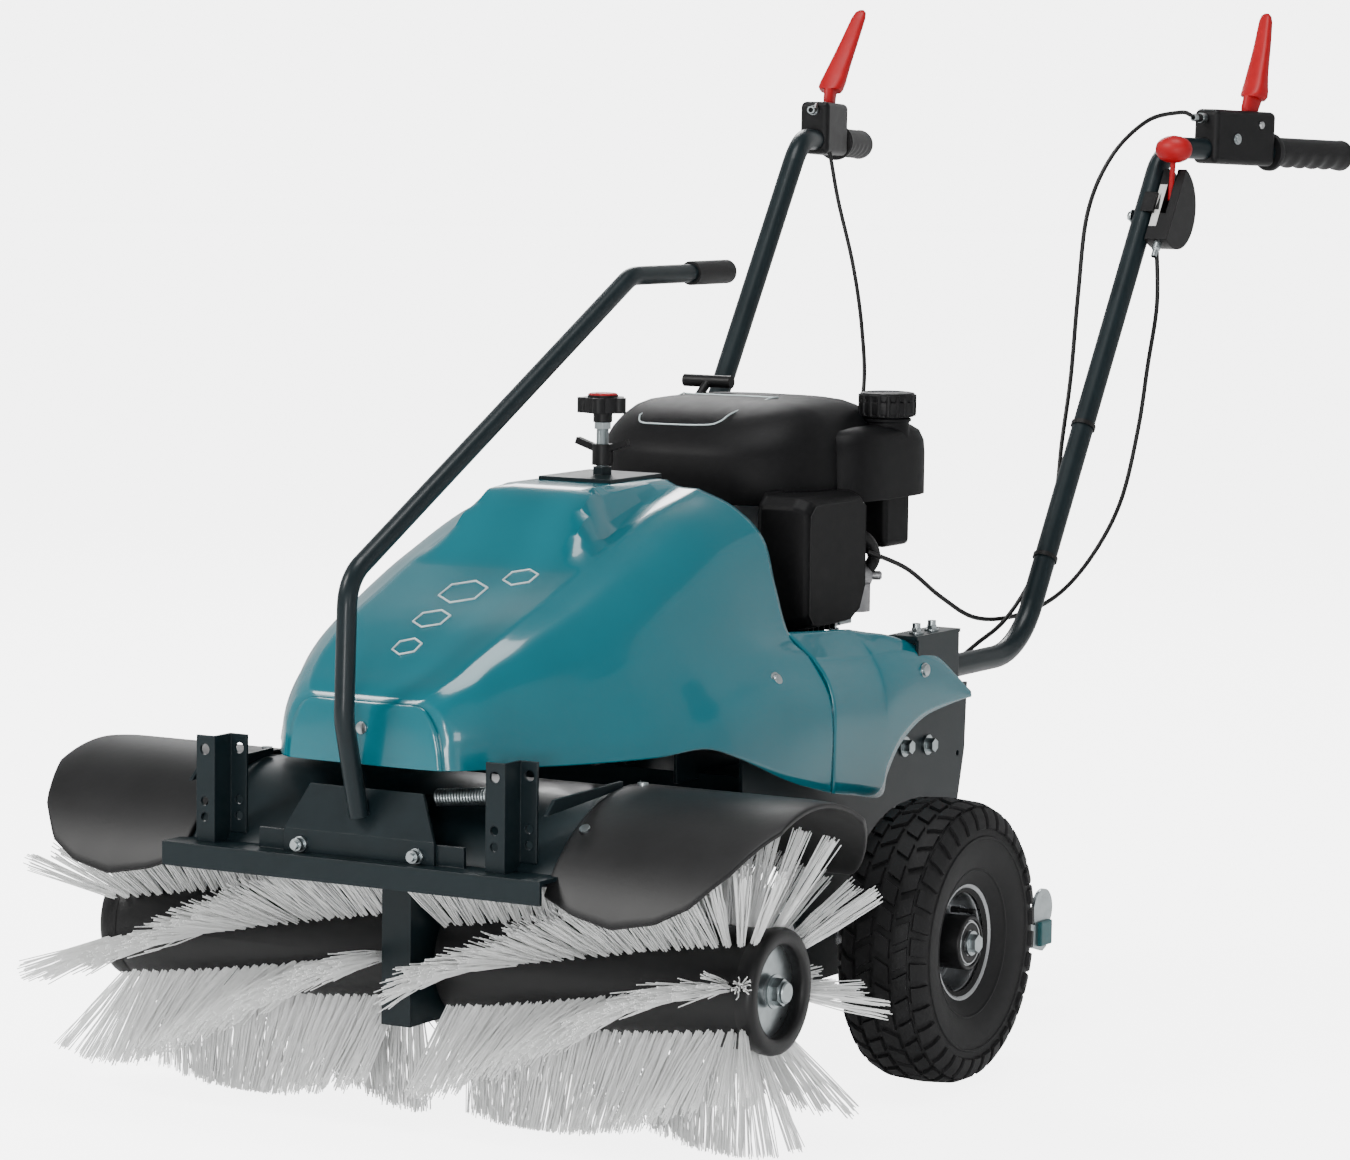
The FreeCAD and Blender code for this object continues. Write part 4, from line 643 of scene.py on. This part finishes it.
# ------------------------------------------------------------------ rubber guards
GUARD_START, GUARD_WIDTH, GUARD_RADIUS = 212.5, 212.5, 184
GUARD_REAR = 150
# Front lip of a guard: distance from the middle, then angle up from straight ahead.
GUARD_LIP = [(212.5, 32), (250, 27), (295, 24), (340, 27), (372, 33), (402, 46), (425, 66)]


def make_guard(side, tag):
    """Thick rubber cover whose front lip dips, flares and sweeps back to its outer end."""
    verts = []
    columns, steps = 44, 48
    for x in np.linspace(GUARD_START, GUARD_START + GUARD_WIDTH, columns):
        start = float(np.interp(x, [p[0] for p in GUARD_LIP], [p[1] for p in GUARD_LIP]))
        stop = GUARD_REAR - 30 * max(0.0, (x - 375) / 50) ** 1.6
        for k, angle in enumerate(np.linspace(start, stop, steps)):
            a = math.radians(angle)
            near = max(0.0, 1 - k / 12.0)
            bulge = 3.0 * math.sin(math.pi * (x - GUARD_START) / GUARD_WIDTH) * near ** 2
            outer = max(0.0, (x - 395) / 30.0)
            r = GUARD_RADIUS + bulge - 2.0 * outer ** 2
            verts.append(at(side * x, BRUSH_Y - r * math.cos(a), BRUSH_Z + r * math.sin(a)))
    guard = add_mesh("rubber_cover_" + tag, verts, grid_faces(columns, steps), "guard",
                     "brush_head", sharp=60)
    thicken(guard, 5, -1 if side > 0 else 1)
    edge = guard.modifiers.new("edge", "BEVEL")
    edge.width = 1.6 * MM
    edge.segments = 2
    edge.limit_method = "ANGLE"
    edge.angle_limit = math.radians(50)
    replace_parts(guard, "rubber_guard_" + tag)


# ------------------------------------------------------------------ engine
ENGINE_Y = 165
COVER_HALF_X, COVER_HALF_Y = 140, 145
# Upper part of the engine cover: outline scale and height; the front slopes down above SLOPE_FROM.
COVER_TOP = [(0.994, 642), (0.97, 656), (0.93, 668), (0.87, 679), (0.79, 688), (0.70, 693),
             (0.6, 695.5), (0.45, 697), (0.3, 697.3)]
SLOPE_FROM, SLOPE_RISE, SLOPE_DROP = 640, 57, 28
FILLER = (139, 236)


def super_ring(cx, cy, half_x, half_y, exponent, z, count=96):
    """Level ring between an ellipse and a rectangle; a higher exponent is squarer."""
    ring = []
    for i in range(count):
        a = 2 * math.pi * i / count
        c, s = math.cos(a), math.sin(a)
        ring.append(at(cx + math.copysign(abs(c) ** (2 / exponent), c) * half_x,
                       cy + math.copysign(abs(s) ** (2 / exponent), s) * half_y, z))
    return ring


def stack(name, rings):
    """Engine moulding through rings of equal count, closed at the top."""
    count = len(rings[0])
    verts = [p for ring in rings for p in ring]
    faces = grid_faces(len(rings), count, wrap_cols=True)
    faces.append(tuple(range((len(rings) - 1) * count, len(rings) * count)))
    return add_mesh(name, verts, faces, "shroud", "chassis", sharp=45)


def front_slope(y, z):
    """How far the cover's front slope lowers a point, in mm."""
    front = max(0.0, (-(y - ENGINE_Y) - 40) / 105.0)
    return max(0.0, (z - SLOPE_FROM) / SLOPE_RISE) * SLOPE_DROP * front ** 1.5


def make_shroud():
    """Moulded fan cover: a stepped skirt and a dome that slopes towards the front."""
    profile = [(0.93, 597), (1.0, 591), (1.004, 593), (1.0, 618)] + COVER_TOP
    profile += [(0.15, 697.5), (0.03, 697.5)]
    rings = []
    for scale, z in profile:
        ring = super_ring(0, ENGINE_Y, COVER_HALF_X * scale, COVER_HALF_Y * scale, 3.0, z)
        for p in ring:
            p.z -= front_slope((p.y - AXLE_Y) / MM, z) * MM
        rings.append(ring)
    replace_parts(stack("engine_cover", rings), "engine_shroud")


def make_tank():
    """Fuel tank beside the engine cover, with its filler neck, cap and control box."""
    rings = []
    for scale, z in ((0.93, 597), (1.0, 591), (1.0, 593), (1.0, 636), (0.985, 650), (0.92, 661),
                     (0.8, 667), (0.5, 669), (0.05, 669)):
        rings.append(super_ring(108, 214, 60 * scale, 94 * scale, 3.6, z, 64))
    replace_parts(stack("fuel_tank_shell", rings), "fuel_tank")
    neck = [(0, 27), (8, 25.5), (14, 24.5), (22, 24.5), (23, 26.5), (26, 26.5), (27, 23), (40, 23)]
    lathe("filler_neck", neck, at(*FILLER, 650), UP, "shroud", "chassis")
    block("control_box", (118, 220, 534), (148, 278, 596), "shroud", "chassis", width=6)
    cap = [(0, 28), (0.5, 30), (3, 30.8), (14, 30.8), (15.5, 29), (16, 29)]
    lathe("fuel_cap_skirt", cap, at(*FILLER, 680), UP, "plastic", "tank_cap")
    top = [(0, 30.5), (4.5, 30.8), (7, 29.4), (7.6, 26), (6.4, 24), (6.4, 0.1)]
    lathe("fuel_cap_top", top, at(*FILLER, 697), UP, "plastic", "tank_cap")
    ribs = 18
    verts, faces = [], []
    for i in range(ribs):
        a = 2 * math.pi * i / ribs
        out, over = Vector((math.cos(a), math.sin(a), 0)), Vector((-math.sin(a), math.cos(a), 0))
        base = at(*FILLER, 681) + out * 29.5 * MM
        quad = [base - over * 2.6 * MM, base + out * 2.6 * MM - over * 1.3 * MM,
                base + out * 2.6 * MM + over * 1.3 * MM, base + over * 2.6 * MM]
        v, f = prism(quad, Vector((0, 0, 0.021)))
        faces += [tuple(k + len(verts) for k in face) for face in f]
        verts += v
    add_mesh("fuel_cap_ribs", verts, faces, "plastic", "tank_cap")


def make_air_box():
    """Air filter cover with sloped edges, a split line and a rounded foot."""
    outline = [(0, 474), (0, 594), (12, 605), (128, 605), (139, 597), (139, 500), (126, 474),
               (104, 463), (24, 462), (9, 464)]
    verts = []
    n = len(outline)
    layers = [(112, 1.0), (152, 1.0), (166, 0.94), (170, 0.86)]
    cy = sum(p[0] for p in outline) / n
    cz = sum(p[1] for p in outline) / n
    for x, scale in layers:
        for y, z in outline:
            verts.append(at(x, cy + (y - cy) * scale, cz + (z - cz) * scale))
    faces = grid_faces(len(layers), n, wrap_cols=True)
    faces += [tuple(range(n)), tuple(range(3 * n, 4 * n))[::-1]]
    box = bevel(add_mesh("air_box", verts, faces, "shroud", "chassis"), 5, 4, 18)
    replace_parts(box, "air_filter_cover")
    for i in range(6):
        block("air_box_fin_%d" % (i + 1), (124, 40 + i * 12, 456), (150, 43 + i * 12, 466), "shroud",
              "chassis", 1)


def make_engine_details():
    """Small parts between the air box and the tank, and the outline of a plain badge panel."""
    knob = [(0, 9), (3, 10.5), (12, 10.5), (14, 8), (14, 5), (24, 5), (26, 3), (26, 0.1)]
    lathe("breather_knob", knob, at(140, 172, 508), Vector((0.9, 0.44, 0)).normalized(), "cast",
          "chassis", around=32)
    tube("breather_hose", [at(120, 150, 545), at(150, 160, 552), at(156, 178, 530),
                           at(148, 176, 512)], 7.5, "rubber", "chassis")
    block("control_bracket", (128, 148, 455), (131, 176, 478), "zinc", "chassis", 1)
    hex_nut("intake_nut", at(132, 128, 452), UP)
    tube("governor_rod", [at(140, 150, 462), at(138, 168, 500), at(136, 176, 540)], 1.3, "zinc",
         "chassis")
    badge = ((-76, 66), (-68, 54), (-46, 49), (14, 49), (30, 56), (36, 74), (42, 144), (34, 162),
             (-66, 162), (-74, 150), (-76, 66))
    points = [at(x, y, cover_height(x, y) + 0.6) for x, y in badge]
    tube("badge_outline", points, 0.9, "decal", "chassis", per_span=6)


def cover_height(x, y):
    """Height of the engine cover's top over a point, from its stacked outline."""
    profile = [(1.0, 622)] + COVER_TOP + [(0.0, 697.5)]
    scale = (abs(x / COVER_HALF_X) ** 3 + abs((y - ENGINE_Y) / COVER_HALF_Y) ** 3) ** (1 / 3)
    z = float(np.interp(-scale, [-p[0] for p in profile], [p[1] for p in profile]))
    return z - front_slope(y, z)


# ------------------------------------------------------------------ controls
# Direction of the left grip, direction of the handle tubes, and where a grip's line starts.
GRIP_WAY = Vector((90.2, 321.4, -12.9)).normalized()
TUBE_WAY = Vector((0, 359, 557)).normalized()
HANDLE_X, BEND_Y, BEND_Z = 241.0, 724.0, 969.0
# Distance along the grip and rise of a clutch lever's pin.
LEVER_PIN, LEVER_RISE = 155, 31


def grip_axes(side):
    """Directions along a grip and level across it."""
    way = Vector((GRIP_WAY.x * side, GRIP_WAY.y, GRIP_WAY.z))
    return way, Vector((-way.y, way.x, 0)).normalized()


def grip_point(side, distance, rise=0.0, inward=0.0):
    """Point at a distance along a grip's line, above it and inside it."""
    way, over = grip_axes(side)
    start = Vector((side * HANDLE_X, BEND_Y, BEND_Z))
    return at(*(start + way * distance + Vector((0, 0, rise)) + over * side * inward))


def make_grip(side, tag):
    """Rubber grip: a collar in front, finger grooves underneath and a domed end."""
    way, over = grip_axes(side)
    rise = way.cross(over)
    rise = rise if rise.z > 0 else -rise
    around, start, groove_pitch, groove_depth = 48, 190, 23.6, 2.6
    stations = [(0, 12.6), (0, 21), (1.5, 22.5), (6, 22.5), (8, 21), (9, 18)]
    stations += [(9 + 3 * k, 18.0) for k in range(1, 43)]
    stations += [(138, 18.6), (141, 18.2), (144, 16), (146, 11), (147, 5), (147.2, 0.1)]
    verts = []
    for s, radius in stations:
        groove = 0.0
        if 14 < s < 132:
            groove = groove_depth * (0.5 - 0.5 * math.cos(2 * math.pi * (s - 14) / groove_pitch))
        for j in range(around):
            a = 2 * math.pi * j / around
            r = radius - groove * max(0.0, -math.cos(a)) ** 0.7
            verts.append(grip_point(side, start + s)
                         + (rise * math.cos(a) + over * math.sin(a)) * r * MM)
    faces = grid_faces(len(stations), around, wrap_cols=True)
    return add_mesh("moulded_grip_" + tag, verts, faces, "rubber", "chassis", 40)


# Stations of a clutch lever: rise above its pin, distance back, half chord and half thickness.
LEVER_STATIONS = [(-6, 0, 7, 5), (8, -2, 10, 6), (18, 0, 11.5, 6.8), (30.9, 5, 13, 7),
                  (31.5, 5.5, 13.2, 13), (35, 8, 13, 15.2), (42, 12, 11.4, 15.6), (50, 16, 9.8, 14.8),
                  (62, 22, 8.4, 13.6), (78, 31, 7.2, 12.2), (96, 41, 6.4, 10.8),
                  (112, 49, 5.8, 9.6), (124, 55, 5.2, 8.6), (131, 58.5, 3.8, 6.6), (134, 60, 1.4, 3)]


LEVER_LEAN = 0.266
LEAN_START = 36


def make_lever(side, tag):
    """Moulded clutch lever: broad shoulders above the housing, then a tapering rounded blade."""
    verts = []
    around, count = 28, 57
    knots = np.arange(len(LEVER_STATIONS))
    for t in np.linspace(0, knots[-1], count):
        rise, back, chord, thick = [float(np.interp(t, knots, column))
                                    for column in zip(*LEVER_STATIONS)]
        lean = LEVER_LEAN * max(0.0, rise - LEAN_START)
        for j in range(around):
            a = 2 * math.pi * j / around
            u = abs(math.cos(a)) ** 0.7 * math.copysign(chord, math.cos(a))
            w = abs(math.sin(a)) ** 0.7 * math.copysign(thick, math.sin(a))
            verts.append(grip_point(side, LEVER_PIN + back + u, LEVER_RISE + rise - 0.25 * u,
                                    lean + w))
    faces = grid_faces(count, around, wrap_cols=True)
    lever = add_mesh("moulded_lever_" + tag, verts, faces, "red", "clutch_" + tag, 45)
    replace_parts(lever, "clutch_lever_" + tag)


def make_lever_details(side, tag):
    """Cable adjuster, cover screw and pin end on a lever housing."""
    way, over = grip_axes(side)
    outwards = over * -side
    adjuster = [(-22, 3), (-22, 4.6), (-10, 4.6), (-10, 6), (-2, 6), (-2, 4.4), (4, 4.4)]
    lathe("adjuster_" + tag, adjuster, grip_point(side, 74, 36), way, "zinc", "chassis", around=20)
    screw = [(0, 6.4), (1, 6.4), (1, 4.4), (3, 4), (3.6, 2), (3.6, 0.1)]
    lathe("housing_screw_" + tag, screw, grip_point(side, 112, 13, -18), outwards, "zinc",
          "chassis", around=24)
    pin = [(0, 4.5), (2, 4.5), (3, 3.4), (3, 0.1)]
    lathe("lever_pin_" + tag, pin, grip_point(side, LEVER_PIN, LEVER_RISE, -18), outwards, "steel",
          "chassis", around=20)


def make_throttle_details():
    """Label plate, nut and cable nipple of the throttle box on the left handle."""
    along = TUBE_WAY
    ahead = Vector((0, -along.z, along.y))
    across = Vector((1, 0, 0))
    centre = at(268, 679.5, 900)

    def plate(name, corners, rise, finish):
        """Thin plate on the front of the box, its corners across and along the tube."""
        points = [centre + (ahead * rise + across * u + along * v) * MM for u, v in corners]
        verts, faces = prism(points, ahead * 0.7 * MM)
        return add_mesh(name, verts, faces, finish, "chassis")

    bevel(plate("throttle_label", [(-13, -30), (-4, -30), (-4, 26), (-13, 26)], 8, "white"), 0.3)
    plate("throttle_wedge", [(-11, -8), (-6, -8), (-8.5, 14)], 8.5, "cable")
    oval = [(-22, 0.1), (-21.2, 5), (-19, 9), (-15, 12.4), (-8, 15.2), (0, 16.2), (8, 15.2),
            (15, 12.4), (19, 9), (21.2, 5), (22, 0.1)]
    knob = lathe("throttle_knob", oval, at(268, 693, 967), across, "red", "throttle", 48, 60)
    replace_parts(knob, "throttle_lever")
    tube("throttle_arm", [at(268, 686, 908), at(268, 689, 930), at(268, 693, 960)], 3.2, "red",
         "throttle")
    hex_nut("throttle_nut", at(228, 672, 889), -across)
    lathe("throttle_nipple", [(0, 5), (10, 5), (12, 3.4), (20, 3.4)],
          centre - along * 46 * MM, -along, "zinc", "chassis", around=24)


def make_stand_end(side, tag):
    """Coloured cap in the open end of the parking stand's square foot."""
    low, high = sorted((side * 214, side * 221))
    block("stand_cap_" + tag, (low, 481, 59), (high, 509, 87), "nut_green", "stand", 1.5)


def make_cables():
    """Clutch cables from both housings and the throttle cable to the engine."""
    paths = {
        "right": [(-250, 776, 1003), (-262, 806, 1006), (-252, 817, 954), (-240, 820, 893),
                  (-222, 828, 813), (-205, 822, 735), (-190, 800, 660), (-178, 740, 580),
                  (-165, 560, 500), (-150, 380, 450), (-130, 300, 430)],
        "left": [(257, 762, 1006), (253, 740, 1009), (238, 682, 999), (222, 623, 959),
                 (214, 579, 896), (210, 566, 802), (212, 547, 709), (216, 519, 637),
                 (222, 491, 572), (224, 439, 496), (216, 384, 446), (205, 332, 421),
                 (196, 285, 400)],
        "throttle": [(268, 652, 850), (270, 651, 788), (268, 634, 720), (264, 620, 647),
                     (256, 595, 566), (246, 546, 508), (232, 486, 466), (216, 414, 447),
                     (202, 337, 450), (190, 274, 478), (176, 216, 514), (158, 158, 536)],
    }
    for name, points in paths.items():
        tube("cable_" + name, [at(*p) for p in points], 2.6, "cable", "chassis")
    band = [(-2.5, 13.2), (-2.5, 14.2), (2.5, 14.2), (2.5, 13.2)]
    for i, z in enumerate((512, 655)):
        place = at(HANDLE_X, BEND_Y - (BEND_Z - z) * TUBE_WAY.y / TUBE_WAY.z, z)
        lathe("cable_tie_%d" % (i + 1), band, place, TUBE_WAY, "cable", "chassis", around=40)


def make_spindle_details():
    """Red cap on the star knob and the thread of the adjusting rod."""
    cap = [(0, 15.5), (1.6, 15.5), (2.6, 14), (3.0, 10), (3.2, 0.1)]
    lathe("knob_cap", cap, at(0, SPINDLE_Y, 714.8), UP, "red", "adjuster", around=48)
    pitch, root, crest = 0.9, 6.15, 6.75
    threads = []
    for i in range(64):
        threads += [(i * pitch, root), (i * pitch + pitch / 2, crest)]
    lathe("rod_thread", threads, at(0, SPINDLE_Y, 632), UP, "zinc", "adjuster", 24, 60)


def make_hood_screws():
    """Domed screws with washers: two on each side of the hood and one on its nose."""
    lean = Vector((0.93, 0, 0.36)).normalized()
    front = [(0, 8.5), (1.5, 8.5), (1.6, 6.5), (5, 6), (6, 3), (6, 0.1)]
    middle = [(0, 9), (1.5, 9), (1.6, 6.5), (4.4, 6), (5.4, 3), (5.4, 0.1)]
    rear = [(0, 8), (1.5, 8), (1.6, 6), (4, 5.6), (5, 3), (5, 0.1)]
    screws = [("front", front, (0, -589.5, 414), Vector((0, -1, 0)))]
    for side, tag in SIDES:
        way = Vector((lean.x * side, 0, lean.z))
        screws.append(("side_" + tag, middle, (side * 238, -188, 436), way))
        screws.append(("rear_" + tag, rear, (side * HOOD_SIDE, 96, 420), Vector((side, 0, 0))))
    for tag, profile, place, way in screws:
        lathe("hood_screw_" + tag, profile, at(*place), way, "zinc", "chassis", around=32)


# ------------------------------------------------------------------ stage
def make_floor():
    """Round pale floor that curves up into a wall far behind every camera."""
    mesh = bpy.data.meshes.new("floor")
    flat, curve, height, around = 24.0, 6.0, 24.0, 72
    profile = [(flat + curve * math.sin(a), curve - curve * math.cos(a))
               for a in [math.pi / 2 * k / 12 for k in range(13)]] + [(flat + curve, height)]
    turns = [2 * math.pi * k / around for k in range(around)]
    verts = [(r * math.cos(a), r * math.sin(a), z) for r, z in profile for a in turns]
    faces = grid_faces(len(profile), around, wrap_cols=True) + [tuple(range(around))]
    mesh.from_pydata(verts, [], faces)
    mesh.polygons.foreach_set("use_smooth", [True] * (len(faces) - 1) + [False])
    paint = make_material("pale_floor", (0.9, 0.9, 0.9), 0.8, vary=0.005, scale=2, bump=0.02)
    tree = paint.node_tree
    shader = tree.nodes["Principled BSDF"]
    shader.inputs["Specular IOR Level"].default_value = 0.1
    shader.inputs["Emission Color"].default_value = (1, 1, 1, 1)
    # the floor glows more to the camera than to the machine, as a lit studio sweep does
    path = tree.nodes.new("ShaderNodeLightPath")
    glow = tree.nodes.new("ShaderNodeMapRange")
    glow.inputs["To Min"].default_value = 0.24
    glow.inputs["To Max"].default_value = 5.0
    tree.links.new(path.outputs["Is Camera Ray"], glow.inputs["Value"])
    tree.links.new(glow.outputs["Result"], shader.inputs["Emission Strength"])
    mesh.materials.append(paint)
    floor = bpy.data.objects.new("floor", mesh)
    bpy.context.scene.collection.objects.link(floor)


# Lights: name, place in metres, size in metres, power in watts and colour.
LIGHTS = [
    ("key", (-2.4, -3.2, 3.6), 1.3, 160, (1.0, 0.99, 0.97)),
    ("fill", (4.6, -3.4, 1.2), 1.0, 34, (0.96, 0.98, 1.0)),
    ("top", (0.2, -0.4, 4.2), 1.6, 88, (1, 1, 1)),
    ("rim", (-2.4, 3.4, 2.8), 1.2, 60, (1, 1, 1)),
    ("low", (1.6, -4.8, 0.6), 0.9, 78, (1, 1, 1)),
]


def make_lights():
    """Soft square lights aimed at the middle of the machine, and a dim world."""
    target = Vector((0, -0.1, 0.45))
    for name, place, size, power, color in LIGHTS:
        light = bpy.data.lights.new(name, "AREA")
        light.shape = "SQUARE"
        light.size = size
        light.energy = power
        light.color = color
        obj = bpy.data.objects.new(name, light)
        obj.location = place
        obj.rotation_euler = (target - Vector(place)).to_track_quat("-Z", "Y").to_euler()
        bpy.context.scene.collection.objects.link(obj)
    world = bpy.data.worlds.new("studio")
    world.use_nodes = True
    background = world.node_tree.nodes["Background"]
    background.inputs["Color"].default_value = (0.95, 0.96, 0.97, 1)
    background.inputs["Strength"].default_value = 0.28
    bpy.context.scene.world = world


def make_camera():
    """Camera in front of the machine on its left, looking slightly down."""
    azimuth, elevation, roll = [math.radians(v) for v in (30.04, 5.96, 0.69)]
    target, distance = at(123.29, -200.9, 542.26), 5.2375
    back = Vector((math.sin(azimuth) * math.cos(elevation), -math.cos(azimuth) * math.cos(elevation),
                   math.sin(elevation)))
    right = Vector((math.cos(azimuth), math.sin(azimuth), 0))
    up = back.cross(right)
    side = right * math.cos(roll) + up * math.sin(roll)
    top = -right * math.sin(roll) + up * math.cos(roll)
    data = bpy.data.cameras.new("camera")
    data.sensor_fit = "HORIZONTAL"
    data.sensor_width = 36.0
    data.lens = 135.78
    data.shift_x = 0.00095556
    data.shift_y = -0.00632593
    camera = bpy.data.objects.new("camera", data)
    camera.location = target + back * distance
    camera.rotation_euler = Matrix((side, top, back)).transposed().to_euler()
    bpy.context.scene.collection.objects.link(camera)
    bpy.context.scene.camera = camera


make_hood()
make_decals()
make_hood_screws()
for side, tag in SIDES:
    make_skirt(side, tag)
    make_under_hood_shade(side, tag)
    make_tyre(side, tag)
    make_wheel_details(side, tag)
    make_guard(side, tag)
    make_core_details(side, tag)
    make_lever_details(side, tag)
    make_lever(side, tag)
    make_stand_end(side, tag)
make_bristles()
make_shroud()
make_tank()
make_air_box()
make_engine_details()
grips = [make_grip(side, tag) for side, tag in SIDES]
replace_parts(grips[0], "handle_grips")
make_throttle_details()
make_cables()
make_spindle_details()
make_floor()
make_lights()
make_camera()
